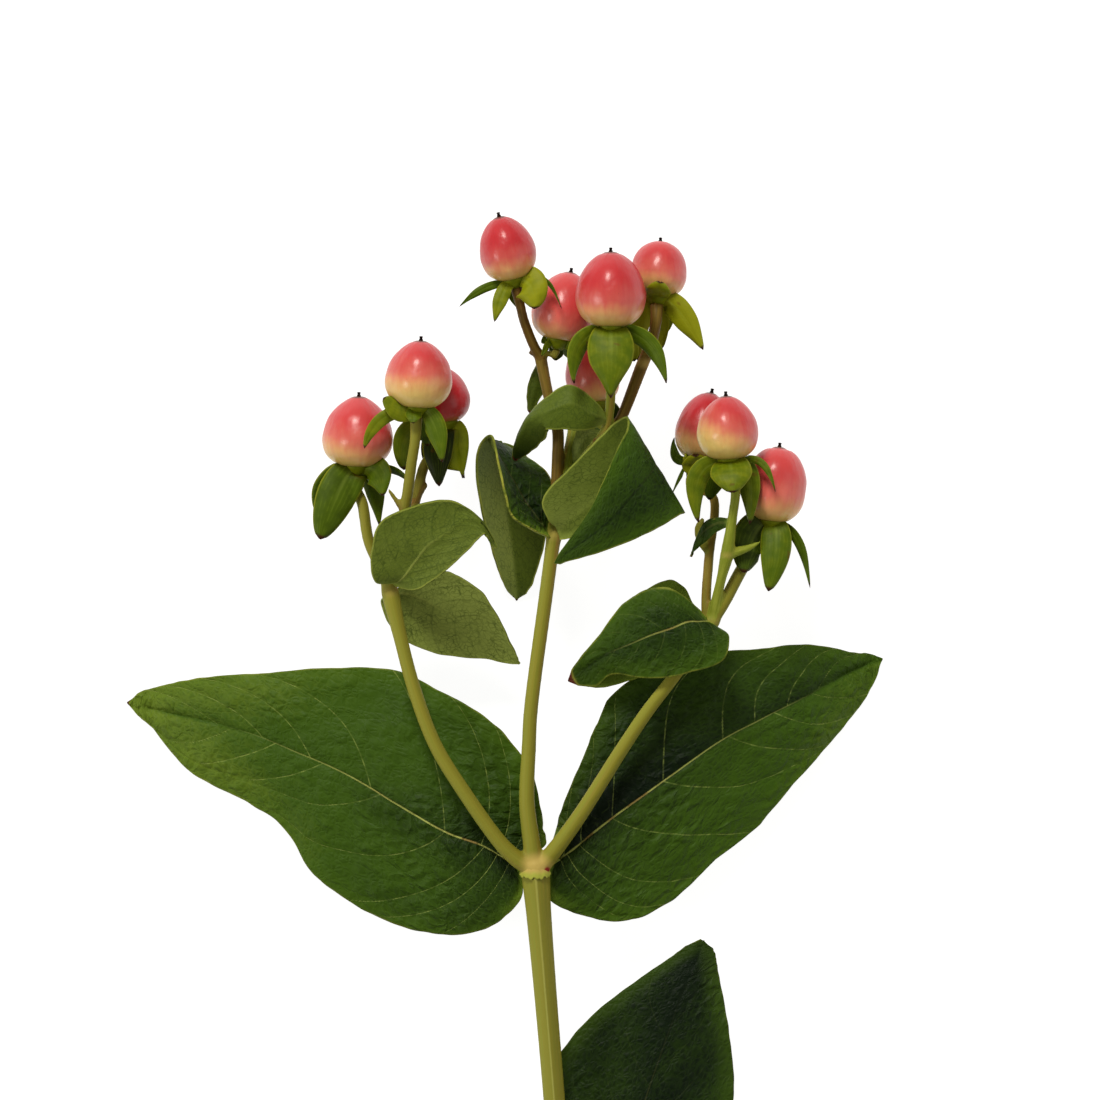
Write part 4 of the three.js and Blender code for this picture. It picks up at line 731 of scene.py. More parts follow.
class Paint:
    """A material being mixed: every node comes from node()."""

    def __init__(self, name):
        self.material = bpy.data.materials.new(name)
        self.material.use_nodes = True
        self.tree = self.material.node_tree
        self.shader = self.tree.nodes["Principled BSDF"]

    def node(self, kind, settings=None, sockets=None):
        made = self.tree.nodes.new(kind)
        for name, value in (settings or {}).items():
            setattr(made, name, value)
        for name, value in (sockets or {}).items():
            self.put(made.inputs[name], value)
        return made

    def put(self, socket, value):
        if isinstance(value, Number):
            value = value.socket
        if isinstance(value, bpy.types.NodeSocket):
            self.tree.links.new(value, socket)
        else:
            socket.default_value = value

    def math(self, operation, *values):
        made = self.node("ShaderNodeMath", {"operation": operation}, dict(enumerate(values)))
        return Number(self, made.outputs[0])

    def vector(self, operation, one, other):
        made = self.node("ShaderNodeVectorMath", {"operation": operation}, {0: one, 1: other})
        return made.outputs[0]

    def stored(self, name):
        return self.node("ShaderNodeAttribute", {"attribute_name": name}).outputs["Vector"]

    def numbers(self, name):
        split = self.node("ShaderNodeSeparateXYZ", None, {0: self.stored(name)})
        return [Number(self, socket) for socket in split.outputs]

    def noise(self, vector, scale, detail=2.0, rough=0.5):
        sockets = {"Vector": vector, "Scale": scale, "Detail": detail, "Roughness": rough}
        return Number(self, self.node("ShaderNodeTexNoise", None, sockets).outputs["Fac"])

    def warped(self, vector, scale, amount):
        """The same places, pushed about by a noise."""
        push = self.node("ShaderNodeTexNoise", None, {"Vector": vector, "Scale": scale, "Detail": 1.0})
        centred = self.vector("SUBTRACT", push.outputs["Color"], (0.5, 0.5, 0.5))
        return self.vector("ADD", vector, self.vector("MULTIPLY", centred, [amount / scale] * 3))

    def cells(self, vector, scale, feature="DISTANCE_TO_EDGE"):
        sockets = {"Vector": vector, "Scale": scale}
        made = self.node("ShaderNodeTexVoronoi", {"feature": feature}, sockets)
        return Number(self, made.outputs["Distance"])

    def mix(self, share, one, other):
        """Colour one where share is 0, the other where it is 1."""
        made = self.node("ShaderNodeMix", {"data_type": "RGBA"})
        self.put(made.inputs[0], share)
        self.put(made.inputs[6], colour(one))
        self.put(made.inputs[7], colour(other))
        return made.outputs[2]

    def bump(self, height, distance, strength):
        sockets = {"Height": height, "Distance": distance, "Strength": strength}
        return self.node("ShaderNodeBump", None, sockets).outputs[0]

    def finish(self, **sockets):
        for name, value in sockets.items():
            self.put(self.shader.inputs[name.replace("_", " ")], value)
        return self.material


def colour(value):
    """A colour given as red, green and blue from 0 to 255, as a socket takes it."""
    if isinstance(value, bpy.types.NodeSocket):
        return value
    return [(part / 255) ** 2.2 for part in value] + [1.0]


def leaf_lines(paint):
    """Distances in mm to the rib and to the nearest side vein, and the share along the rib."""
    left, right, across = paint.numbers("veins")
    gap_left, gap_right, along = paint.numbers("vein_gaps")
    side = across.step(-0.001, 0.001)
    count = left + (right - left) * side
    gap = gap_left + (gap_right - gap_left) * side
    off = abs(count - paint.math("ROUND", count)) * gap
    return abs(across), off, along


def leaf_upper():
    paint = Paint("leaf upper side")
    rib_off, vein_off, along = leaf_lines(paint)
    edge, tip, foot = paint.numbers("blade")
    tone, _, _ = paint.numbers("tones")
    vein_show, rib_show, rim_show = paint.numbers("shows")
    flat = paint.stored("flat")
    wavy = paint.warped(flat, 0.5, 0.7)
    broken = paint.noise(flat, 0.9, 2.0).step(0.42, 0.6)
    rib = (rib_off * (0.55 + along * 1.1)).step(0.2, 0.07) * along.step(0.8, 0.3) * rib_show
    crease = rib_off.step(0.35, 0.05)
    vein_fade = 0.15 + broken * 0.5 + along.step(0.35, 0.05) * 0.45
    vein = vein_off.step(0.12, 0.03) * vein_fade * vein_show
    net = paint.cells(wavy, 0.3).step(0.025, 0.006) * broken * vein_show
    puff = paint.cells(wavy, QUILT_CELLS).step(0.0, 0.4)
    fine_puff = paint.cells(wavy, 1.3).step(0.0, 0.35)
    patch = paint.noise(flat, 0.1, 3.0)
    fine = paint.noise(flat, 1.4, 3.0, 0.6)
    # painted shade: the blade is darker near its rib and in the crease along it
    rib_shade = rib_off.step(9.0, 0.0) * 0.3 + crease * 0.2
    shade = tone + (patch - 0.5) * 0.9 + (fine - 0.5) * 0.5 - fine_puff * 0.14 - rib_shade
    green = paint.mix(shade.step(-1.3, 0.1), LEAF_DARK, LEAF_GREEN)
    green = paint.mix(shade.step(0.0, 1.2), green, LEAF_PALE)
    green = paint.mix(edge.step(4.0, 0.3) * 0.3, green, LEAF_MARGIN)
    green = paint.mix(foot * 0.8, green, LEAF_FOOT)
    green = paint.mix(net * along.step(0.6, 0.1) * 0.22, green, LEAF_NET)
    green = paint.mix(vein, green, LEAF_VEIN)
    blotch = paint.noise(flat, 0.3, 2.0).step(0.42, 0.6)
    red = along.step(0.1, 0.2) * along.step(0.5, 0.35) * blotch * 0.65
    green = paint.mix(rib, green, paint.mix(red, LEAF_RIB, LEAF_RED_RIB))
    dry = paint.noise(flat, 0.35, 2.0).step(0.35, 0.65)
    green = paint.mix(edge.step(0.32, 0.08) * rim_show * (0.3 + dry * 0.7), green, LEAF_RIM)
    green = paint.mix(tip.step(0.0, 0.4) * 0.5, green, LEAF_YELLOW_TIP)
    green = paint.mix(tip.step(0.4, 0.8), green, LEAF_BROWN_TIP)
    rumpled = paint.noise(flat, 0.07, 1.0).step(0.4, 0.65)
    height = puff * (0.3 + rumpled * 1.1) + fine_puff * 0.25 + fine * 0.2 - vein * 0.5 - rib * 0.8
    return paint.finish(Base_Color=green, Roughness=0.48 + fine * 0.14, Specular_IOR_Level=0.11,
                        Normal=paint.bump(height, 0.00032, 0.8))


def leaf_under():
    paint = Paint("leaf underside")
    rib_off, vein_off, along = leaf_lines(paint)
    edge, tip, foot = paint.numbers("blade")
    _, tone, _ = paint.numbers("tones")
    vein_show, rib_show, rim_show = paint.numbers("shows")
    flat = paint.stored("flat")
    wavy = paint.warped(flat, 0.7, 0.9)
    vein = vein_off.step(0.2, 0.04) * vein_show
    net = paint.cells(wavy, 0.7).step(0.07, 0.015) * vein_show
    mesh = paint.cells(wavy, 1.5).step(0.11, 0.015)
    patch = paint.noise(flat, 0.13, 3.0)
    fine = paint.noise(flat, 2.2, 3.0, 0.6)
    broken = paint.noise(flat, 0.4, 2.0).step(0.35, 0.65)
    shade = tone + (patch - 0.5) * 0.6 + (fine - 0.5) * 0.35
    green = paint.mix(shade.step(-1.1, 0.1), UNDER_DARK, UNDER_GREEN)
    green = paint.mix(shade.step(0.0, 1.6), green, UNDER_PALE)
    green = paint.mix(mesh * (0.2 + broken * 0.3), green, UNDER_MESH)
    green = paint.mix(net * (0.15 + broken * 0.35), green, UNDER_VEIN)
    green = paint.mix(vein * (0.25 + broken * 0.25), green, UNDER_VEIN)
    green = paint.mix(foot * 0.6, green, UNDER_FOOT)
    rib = rib_off.step(0.26, 0.08) * along.step(0.6, 0.05) * rib_show
    green = paint.mix(rib * 0.8, green, UNDER_RIB)
    green = paint.mix(edge.step(0.34, 0.1) * rim_show, green, UNDER_RIM)
    green = paint.mix(tip.step(0.4, 0.8), green, UNDER_TIP)
    height = rib + vein * 0.35 + net * 0.25 + mesh * 0.15 + fine * 0.1
    return paint.finish(Base_Color=green, Roughness=0.55, Specular_IOR_Level=0.11,
                        Normal=paint.bump(height, 0.00016, 0.6))


def berry_skin():
    paint = Paint("berry skin")
    height, reach, deep = paint.numbers("ripe")
    around = paint.stored("around")
    streak = paint.noise(paint.vector("MULTIPLY", around, (1, 1, 0.25)), 5.5, 3.0, 0.6)
    cloud = paint.noise(around, 1.3, 2.0)
    level = height - reach + (streak - 0.5) * 0.06 + (cloud - 0.5) * 0.22
    blush = paint.mix(streak.step(0.2, 0.8), BLUSH, BLUSH_STREAK)
    cream = paint.mix(streak.step(0.2, 0.8), CREAM, CREAM_STREAK)
    skin = paint.mix(level.step(-0.34, 0.02), cream, blush)
    skin = paint.mix(level.step(-0.1, 0.14), skin, paint.mix(deep, PINK, DEEP_PINK))
    red_from = (level + (streak - 0.5) * 0.2).step(0.04, 0.42)
    skin = paint.mix(red_from, skin, paint.mix(deep, RED, DEEP_RED))
    skin = paint.mix(height.step(0.1, -0.02) * 0.6, skin, BERRY_FOOT)
    dots = paint.cells(around, 6.0, "F1").step(0.07, 0.03)
    specks = dots * paint.noise(around, 2.3, 0.0).step(0.6, 0.62)
    skin = paint.mix(specks * 0.6, skin, BERRY_SPECK)
    skin = paint.mix(height.step(0.968, 0.99), skin, BERRY_RING)
    ripple = paint.noise(around, 2.6, 2.0) + streak * 0.2
    return paint.finish(Base_Color=skin, Roughness=0.36, Specular_IOR_Level=0.26, Coat_Weight=0.22,
                        Coat_Roughness=0.2, Subsurface_Weight=0.1, Subsurface_Radius=(1.0, 0.35, 0.2),
                        Subsurface_Scale=0.001, Normal=paint.bump(ripple, 0.00026, 0.6))


def sepal_skin():
    paint = Paint("sepal")
    along, across, tone = paint.numbers("sepal")
    flat = paint.stored("flat")
    line = paint.math("SINE", across * 28.0 + paint.noise(flat, 0.6) * 5.0).step(0.0, 1.0)
    mottle = paint.noise(flat, 0.6, 3.0)
    shade = tone + (mottle - 0.5) * 0.8
    green = paint.mix(shade.step(-1.1, 0.1), SEPAL_DARK, SEPAL_GREEN)
    green = paint.mix(shade.step(0.0, 1.2), green, SEPAL_YELLOW)
    green = paint.mix(tone.step(-0.95, -1.3), green, SEPAL_WITHERED)
    green = paint.mix(line * mottle.step(0.35, 0.6) * 0.12, green, SEPAL_STRIPE)
    rib = abs(across).step(0.16, 0.02) * along.step(0.8, 0.1)
    green = paint.mix(rib * 0.2, green, SEPAL_RIB)
    green = paint.mix(abs(across).step(0.9, 0.98) * 0.5, green, SEPAL_RIM)
    green = paint.mix(along.step(0.2, 0.0) * 0.3, green, SEPAL_FOOT)
    blotch = paint.noise(flat, 0.4, 2.0).step(0.68, 0.76)
    green = paint.mix(blotch * 0.5, green, SEPAL_BLOTCH)
    green = paint.mix(along.step(0.94, 0.98), green, SEPAL_TIP)
    height = line * 0.04 + mottle * 0.8
    return paint.finish(Base_Color=green, Roughness=0.5, Specular_IOR_Level=0.11,
                        Normal=paint.bump(height, 0.00014, 0.6))


def stem_skin():
    paint = Paint("stem skin")
    angle, _, tone = paint.numbers("shoot")
    joint, fleck, ribbed = paint.numbers("joint")
    flat = paint.stored("flat")
    streak = paint.noise(flat, 1.0, 3.0, 0.6)
    ridge = abs(angle).step(0.13, 0.03)
    # painted light and shade: one flank of each shoot paler, the other darker
    olive = paint.mix(angle.step(-1.0, 1.0), OLIVE_SHADED_FLANK, OLIVE_LIT_FLANK)
    olive = paint.mix(streak.step(0.25, 0.75) * 0.4, olive, OLIVE_STREAK)
    brown = paint.mix(streak.step(0.3, 0.7), BROWN, BROWN_STREAK)
    fresh = paint.mix(streak.step(0.3, 0.7), FRESH, FRESH_STREAK)
    skin = paint.mix(tone.step(0.0, 1.0), olive, brown)
    skin = paint.mix(tone.step(0.0, -1.0), skin, fresh)
    blush = paint.noise(flat, 0.16, 2.0).step(0.52, 0.68)
    skin = paint.mix(blush * ribbed.step(0.9, 0.4) * 0.4, skin, STEM_BLUSH)
    skin = paint.mix(ridge * ribbed * 0.4, skin, STEM_RIDGE)
    skin = paint.mix(ribbed.step(1.5, 1.8), skin, COLLAR)
    skin = paint.mix(joint, skin, JOINT_PALE)
    skin = paint.mix(fleck, skin, FLECK_RED)
    height = streak * 0.5 + ridge * ribbed
    return paint.finish(Base_Color=skin, Roughness=0.52, Specular_IOR_Level=0.12,
                        Normal=paint.bump(height, 0.0001, 0.6))


def dry_style():
    paint = Paint("dry style")
    grain = paint.noise(paint.node("ShaderNodeTexCoord").outputs["Object"], 4000.0, 2.0)
    black = paint.mix(grain, STYLE_BLACK, STYLE_BROWN)
    return paint.finish(Base_Color=black, Roughness=0.9, Specular_IOR_Level=0.1)


# ---- leaves ----
def leaf_middle(lines, along, across, rounded=0):
    """Points on a leaf's middle surface."""
    left, rib, right = (Path([line[which] for line in lines]).at(along) for which in range(3))
    edge = np.where((across < 0)[:, None], left, right)
    share = across[:, None]
    folded = rib + (edge - rib) * np.abs(share)
    arched = rib + share * (right - left) / 2 + share ** 2 * ((right + left) / 2 - rib)
    return folded + (arched - folded) * rounded


def leaf_normals(lines, along, across, rounded):
    """Which way a leaf's upper side faces at each point."""
    step, width = 0.004, 0.02
    inner = across * 0.98
    ahead = (leaf_middle(lines, along + step, inner, rounded)
             - leaf_middle(lines, along - step, inner, rounded))
    aside = (leaf_middle(lines, along, inner + width, rounded)
             - leaf_middle(lines, along, inner - width, rounded))
    return unit(np.cross(aside, ahead))


def margin_swing(name, along, across, length):
    """How far out of its even line the margin beside each point swings, in mm."""
    swing = np.zeros(len(along))
    for side, sign in zip(MARGINS.get(name, ()), (-1, 1)):
        shares, amounts = np.array(side).T
        swing = np.where(across * sign > 0, np.interp(along, shares, amounts), swing)
    beside = np.column_stack([along * length * 0.6, np.sign(across) * 9, np.full(len(along), length)])
    return swing * 0.9 + rough_at(beside, 1.0) * RAGGED


def vein_count(veins, along, across, length, half):
    """Counts the side veins passed on the way to each point, and gives the mm from one to the next."""
    lines = []
    for start, slope, bend in veins:
        line = start + slope * across / (1 - bend * across)
        lines.append(np.maximum(line, lines[-1] + 0.002) if lines else line)
    lines = np.array([lines[0] - 0.4, *lines, lines[-1] + 0.6])
    passed = np.clip((along > lines).sum(0) - 1, 0, len(lines) - 2)
    here = np.arange(len(along))
    low, high = lines[passed, here], lines[passed + 1, here]
    lean = np.array([slope for _, slope, _ in veins]).mean() * length / np.maximum(half, 1)
    gap = (high - low) * length / np.sqrt(1 + lean * lean)
    return passed - 1 + (along - low) / (high - low), gap


def quilting(point):
    """How far the blade puffs up between its finest veins at a point, from 0 to 1."""
    near, next_near = noise.voronoi(Vector(point) * QUILT_CELLS)[0][:2]
    return min(1.0, (next_near - near) / 0.45)


def relief(middle, along, off, half, to_vein, edge, swell):
    """How far the blade rises over a leaf's middle surface at each point, in mm."""
    from_rib = off * half
    groove = np.exp(-(to_vein / 0.4) ** 2) * smooth(off, 1.0, 0.8)
    rib_groove = np.exp(-(from_rib / 0.5) ** 2)
    puff = smooth(to_vein, 0, 1.8) - 0.5
    wave = rough_at(middle, 0.16)
    crumple = rough_at(middle, 0.45)
    quilt = np.array([quilting(point) for point in middle])
    rumpled = smooth(wave, -0.5, 0.4) * smooth(edge, 0.5, 3) * smooth(from_rib, 0.3, 1.5)
    rise = swell * 2 * off * (1 - off) * smooth(along, 0, 0.15) * smooth(along, 1, 0.8)
    veined = PUFF * puff - VEIN_GROOVE * groove - RIB_GROOVE * rib_groove
    uneven = WAVE * wave * smooth(off, 0, 0.5) + CRUMPLE * crumple + QUILT * quilt * rumpled
    return rise + swell / MAIN_SWELL * veined + swell / MAIN_SWELL * uneven


def blended(tones, along, right_share):
    """The tone at each point of a leaf's side."""
    (left_foot, left_tip), (right_foot, right_tip) = np.broadcast_to(tones, (2, 2))
    left = left_foot + (left_tip - left_foot) * along ** 1.6
    right = right_foot + (right_tip - right_foot) * along ** 1.6
    return left + (right - left) * right_share


def leaf(name, upper, under):
    """A leaf: its upper side in full relief, thickened downwards into a blade."""
    look, lines, rounded = LEAVES[name], LEAF_LINES[name], ROUNDED.get(name, 0)
    bm = blank("veins", "vein_gaps", "blade", "shows", "flat", "tones")
    corners, along, across = grid(bm, *look["faces"])
    off = np.abs(across)
    rib = Path([line[1] for line in lines])
    rib_points = rib.at(along)
    length = run_length(rib.at(np.linspace(0, 1, 60)))
    half = np.linalg.norm(leaf_middle(lines, along, np.sign(across + 1e-9)) - rib_points, axis=1)
    half = np.maximum(half, 0.3)
    tip = np.sqrt(np.clip((1 - along) / 0.03, 0.02, 1))
    swing = margin_swing(name, along, across, length) * off ** 3
    middle = leaf_middle(lines, along, across * tip * (1 + swing / half), rounded)
    (left, gap_left), (right, gap_right) = (
        vein_count(side, along, np.clip(across * sign, 0, 1), length, half)
        for side, sign in zip(look["veins"], (-1, 1)))
    count = np.where(across < 0, left, right)
    gap = np.where(across < 0, gap_left, gap_right)
    to_vein = np.abs(count - np.round(count)) * gap
    edge = np.minimum((1 - off) * half, (1 - along) * length)
    rise = relief(middle, along, off, half, to_vein, edge, look["swell"]) + LEAF_THICK / 2
    points = middle + leaf_normals(lines, along, across, rounded) * rise[:, None]
    points[:, 2] = np.maximum(points[:, 2], LEAF_THICK)
    place(corners, points)
    right_share = smooth(across * half, -0.6, 0.6)
    tones = [blended(look[side], along, right_share) for side in ("upper", "under")]
    dry = DRY_TIPS.get(name, 0)
    dry_share = smooth((1 - along) * length, 1.6 * dry, 0.4 * dry) if dry else 0
    from_foot = np.linalg.norm(middle - rib_points[along.argmin()], axis=1)
    fresh = smooth(from_foot, 0.14 * length, 0.03 * length)
    fresh *= smooth(np.minimum(edge, along * length), 2.0, 0.4)
    write(bm, corners,
          veins=(left, right, across * half),
          vein_gaps=(gap_left, gap_right, along),
          blade=(edge, dry_share, fresh),
          tones=(*tones, 0),
          shows=look["shows"],
          flat=(across * half, along * length, length))
    made = piece(name, bm, upper, "leaf_dark", name)
    made.data.materials.append(under)
    shell = made.modifiers.new("blade", "SOLIDIFY")
    shell.thickness = LEAF_THICK * MM
    shell.offset = -1
    shell.material_offset = 1


# ---- berries, their calyces and styles ----
def berry_axes(berry, lean):
    """A berry's base, the way up it, its front and its side, and its length."""
    base, tip = np.array(berry["base"], float), np.array(berry["tip"], float)
    base[0] -= lean
    up = unit(tip - base)
    front = facing_up(up)
    return base, up, front, np.cross(up, front), np.linalg.norm(tip - base)


def standing(berry, lean):
    """The matrix that takes a shape built upright at the origin, in mm, to its berry."""
    base, up, front, side, _ = berry_axes(berry, lean)
    turn = Matrix(np.column_stack([side, -front, up]).tolist()).to_4x4()
    turn.translation = Vector(base + FORK) * MM
    return turn @ Matrix.Scale(MM, 4)


def berry_outline(blunt):
    """A berry's outline as shares of its radius and its length; a blunt one is rounder at the tip."""
    points = Path([[out, 0, up] for up, out in BERRY_OUTLINE]).at(np.linspace(0, 1, 56))
    out, up = np.maximum(points[:, 0], 0), points[:, 2]
    out[0] = out[-1] = 0
    high = np.clip((up - 0.42) / 0.58, 0, 1)
    rounder = np.maximum(np.sqrt(1 - high ** 2.6), out)
    out[1:-1] += (blunt * (high > 0) * (up < DIMPLE) * (rounder - out))[1:-1]
    return np.column_stack([out, up])


def berry_piece(name, skin):
    """A berry: its outline turned, then swollen unevenly into three lobes."""
    berry = BERRIES[name]
    reach, deep, tilt, blunt, wide, lean = BERRY_LOOKS[name]
    length = berry_axes(berry, lean)[-1]
    bm = blank("ripe", "around")
    turned(bm, berry_outline(blunt) * (berry["radius"] * wide, length), 80)
    seed = 7.0 * list(BERRIES).index(name)
    points = np.array([corner.co for corner in bm.verts])
    angle = np.arctan2(points[:, 0], -points[:, 1])
    height = points[:, 2] / length
    uneven = 0.015 * np.cos(5 * angle + seed) * smooth(height, 0.35, 0.0)
    swell = 1 + LOBE * np.cos(3 * angle) + uneven
    swell *= 1 + 0.03 * rough_at(points, 0.3, seed) + 0.006 * rough_at(points, 0.9, seed)
    between_lobes = 1 - np.abs(np.sin(1.5 * (angle + math.pi))) ** 0.6
    swell *= 1 - 0.03 * between_lobes * smooth(height, 0.5, 0.85)
    for corner, point, more in zip(bm.verts, points, swell):
        corner.co = (point[0] * more, point[1] * more, point[2])
    write(bm, bm.verts, ripe=(height, reach - tilt * np.sin(angle), deep),
          around=(np.sin(angle) + seed, np.cos(angle) + seed, height * 2))
    bm.transform(standing(berry, lean))
    piece(f"berry_{name}", bm, skin, "berry_skin", f"berry_{name}")


def underside(berry, length, reach):
    """Height of a berry's underside above its base, at distances from its axis."""
    lower = BERRY_OUTLINE[1:5]
    heights = [max(0, up) * length for up, _ in lower]
    widths = [out * berry["radius"] for _, out in lower]
    return np.where(reach > widths[-1], BEYOND, np.interp(reach, widths, heights))


def sepal(bm, berry, spec, lean):
    """Adds one sepal, which lies under its berry and bends off to its tip."""
    bend, tip, width, turn, tone, taper = spec
    bend, tip = np.array(bend, float), np.array(tip, float)
    base, up, _, _, length = berry_axes(berry, lean)
    start = unit(bend - up * (bend @ up)) - 0.35 * up
    corners, along, across = grid(bm, 26, 12)
    part = along[:, None]
    rib = (1 - part) ** 2 * start + 2 * part * (1 - part) * bend + part ** 2 * tip
    ahead = unit((1 - part) * (bend - start) + part * (tip - bend))
    normal = facing_up(ahead)
    cosine, sine = math.cos(math.radians(turn)), math.sin(math.radians(turn))
    normal = normal * cosine + np.cross(ahead, normal) * sine
    aside = np.cross(ahead, normal)
    share = np.sin(math.pi * (0.16 + 0.84 * np.minimum(along, 0.999))) ** (0.5 + 0.08 * taper)
    share *= 1 - 0.45 * taper * smooth(along, 0.6, 1.0)
    half = (width / 2) * np.maximum(0.02, share)
    cup = -0.12 * width * across ** 2 * np.minimum(1, 3 * along) - 0.12 * (1 - np.abs(across)) ** 3
    wave = 0.12 * np.sin(9 * along + 3 * tone) * across ** 2
    middle = rib + aside * (across * half)[:, None] + normal * (cup + wave)[:, None]
    rise = middle @ up
    out = middle - up * rise[:, None]
    reach = np.linalg.norm(out, axis=1)
    top = underside(berry, length, reach) - 0.08
    inside_stalk = (rise < -CUP_DEPTH) & (reach < STALK_CLEAR)
    out = np.where(inside_stalk[:, None], unit(out) * STALK_CLEAR, out)
    points = out + up * np.minimum(rise, top)[:, None] + base + normal * SEPAL_THICK / 2
    place(corners, points)
    write(bm, corners, sepal=(along, across, tone), flat=(across * half, along * length, 9 * tone))
    bmesh.ops.solidify(bm, geom=faces_on(corners), thickness=SEPAL_THICK * MM)


def calyx_piece(name, skin):
    """A berry's cup with its sepals."""
    berry, lean = BERRIES[name], BERRY_LOOKS[name][-1]
    bm = blank("sepal", "flat")
    turned(bm, CUP_OUTLINE, 24)
    spots = np.array([corner.co for corner in bm.verts])
    # The cup's pale tone (0.6) is partly painted light, against the shadow the berry casts on it.
    write(bm, bm.verts, sepal=(0.25, 0.5, 0.6), flat=spots.T)
    bm.transform(standing(berry, lean))
    for spec in berry["sepals"]:
        sepal(bm, berry, spec, lean)
    piece(f"calyx_{name}", bm, skin, "sepal", f"calyx_{name}")


def style_piece(name, black):
    """The dry stub on a berry's tip, split into three prongs."""
    berry, lean = BERRIES[name], BERRY_LOOKS[name][-1]
    top = berry_axes(berry, lean)[-1] * DIMPLE
    bm = bmesh.new()
    bmesh.ops.create_cone(bm, cap_ends=True, segments=12, **STYLE_FOOT,
                          matrix=Matrix.Translation((0, 0, top + 0.35)))
    for index in range(3):
        turn = Matrix.Rotation(index * 2 * math.pi / 3, 4, "Z") @ Matrix.Rotation(PRONG_LEAN, 4, "X")
        prong = Matrix.Translation((0, 0, top + 0.5)) @ turn @ Matrix.Translation((0, 0, 0.25))
        bmesh.ops.create_cone(bm, cap_ends=True, segments=8, **STYLE_PRONG, matrix=prong)
    bm.transform(standing(berry, lean))
    piece(f"style_{name}", bm, black, "dry_style", f"style_{name}")


# ---- the stem ----
def stalk_points(berry):
    """A berry's stalk as [x, y, z, radius], carried on into its cup."""
    base, up, _, _, _ = berry_axes(berry, 0)
    stalk = [list(point) for point in berry["stalk"]]
    *last, radius = stalk[-1]
    end = base - up * (CUP_DEPTH + STALK_GAP)
    near = end - up * 0.45 * np.linalg.norm(end - np.array(last))
    seat = base - up * (CUP_DEPTH - 0.1)
    return [*stalk, [*near, radius], [*end, 1.15 * radius], [*seat, 1.2 * radius]]


def tube(bm, points, sides=20):
    """Adds a round shoot along points of [x, y, z, radius]."""
    way = Path([point[:3] for point in points])
    size = Path([[point[3], 0, 0] for point in points])
    corners, along, across = grid(bm, max(6, int(run_length(points) / RING_STEP)), sides)
    ahead = way.ahead(along)
    front = facing_up(ahead)
    side = np.cross(front, ahead)
    angle = math.pi * across[:, None]
    radius = size.at(along)[:, :1]
    place(corners, way.at(along) + radius * (np.sin(angle) * side + np.cos(angle) * front))
    bmesh.ops.remove_doubles(bm, verts=corners, dist=1e-7)


def grown_together(bm):
    """One closed skin over the tubes, smoothed where they meet."""
    rough = add("stem_raw", meshed("stem_raw", bm))
    grow = rough.modifiers.new("join", "REMESH")
    grow.mode = "VOXEL"
    grow.voxel_size = STEM_VOXEL * MM
    bpy.context.view_layer.update()
    whole = rough.evaluated_get(bpy.context.evaluated_depsgraph_get())
    skin = blank("shoot", "flat", "joint")
    skin.from_mesh(whole.to_mesh())
    whole.to_mesh_clear()
    bpy.data.meshes.remove(rough.data)  # and its object with it
    for _ in range(2):
        bmesh.ops.smooth_vert(skin, verts=skin.verts, factor=0.5,
                              use_axis_x=True, use_axis_y=True, use_axis_z=True)
    return skin


def nearest_marks(points, routes):
    """The nearest place on a route to each point: its route, share along, place, way and radius."""
    marks = []
    for index, route in enumerate(routes):
        share = np.linspace(0, 1, 12 * len(route))
        way = Path([point[:3] for point in route])
        size = Path([[point[3], 0, 0] for point in route]).at(share)[:, :1]
        number = np.full((len(share), 1), index)
        marks.append(np.hstack([number, share[:, None], way.at(share), way.ahead(share), size]))
    marks = np.vstack(marks)
    tree = kdtree.KDTree(len(marks))
    for index, mark in enumerate(marks):
        tree.insert(mark[2:5], index)
    tree.balance()
    found = marks[[tree.find(point)[1] for point in points]]
    return found[:, 0].astype(int), found[:, 1], found[:, 2:5], found[:, 5:8], found[:, 8]


def collar(bm):
    """The frilled rim where the bases of the two large leaves meet across the front of the stem."""
    corners, along, across = grid(bm, 8, 90)
    angle = across * 2.0
    frill = 0.8 + 0.2 * np.abs(np.sin(4.5 * angle)) + 0.08 * np.sin(17 * angle)
    drop = 0.15 + 1.6 * along * frill * (0.55 + 0.45 * np.cos(angle))
    wave = 0.06 * np.sin(9 * angle + 1) * along
    reach = 2.1 + 0.22 * smooth(along, 0, 1) + wave
    x, y, z = COLLAR_MIDDLE
    points = np.column_stack([x + reach * np.sin(angle), y - drop, z + reach * np.cos(angle)])
    place(corners, points)
    write(bm, corners, shoot=(1, 0, 0), flat=points.T, joint=(smooth(along, 0.75, 0), 0, 2))
    faces = faces_on(corners)
    bmesh.ops.recalc_face_normals(bm, faces=faces)
    bmesh.ops.solidify(bm, geom=faces, thickness=COLLAR_THICK * MM)


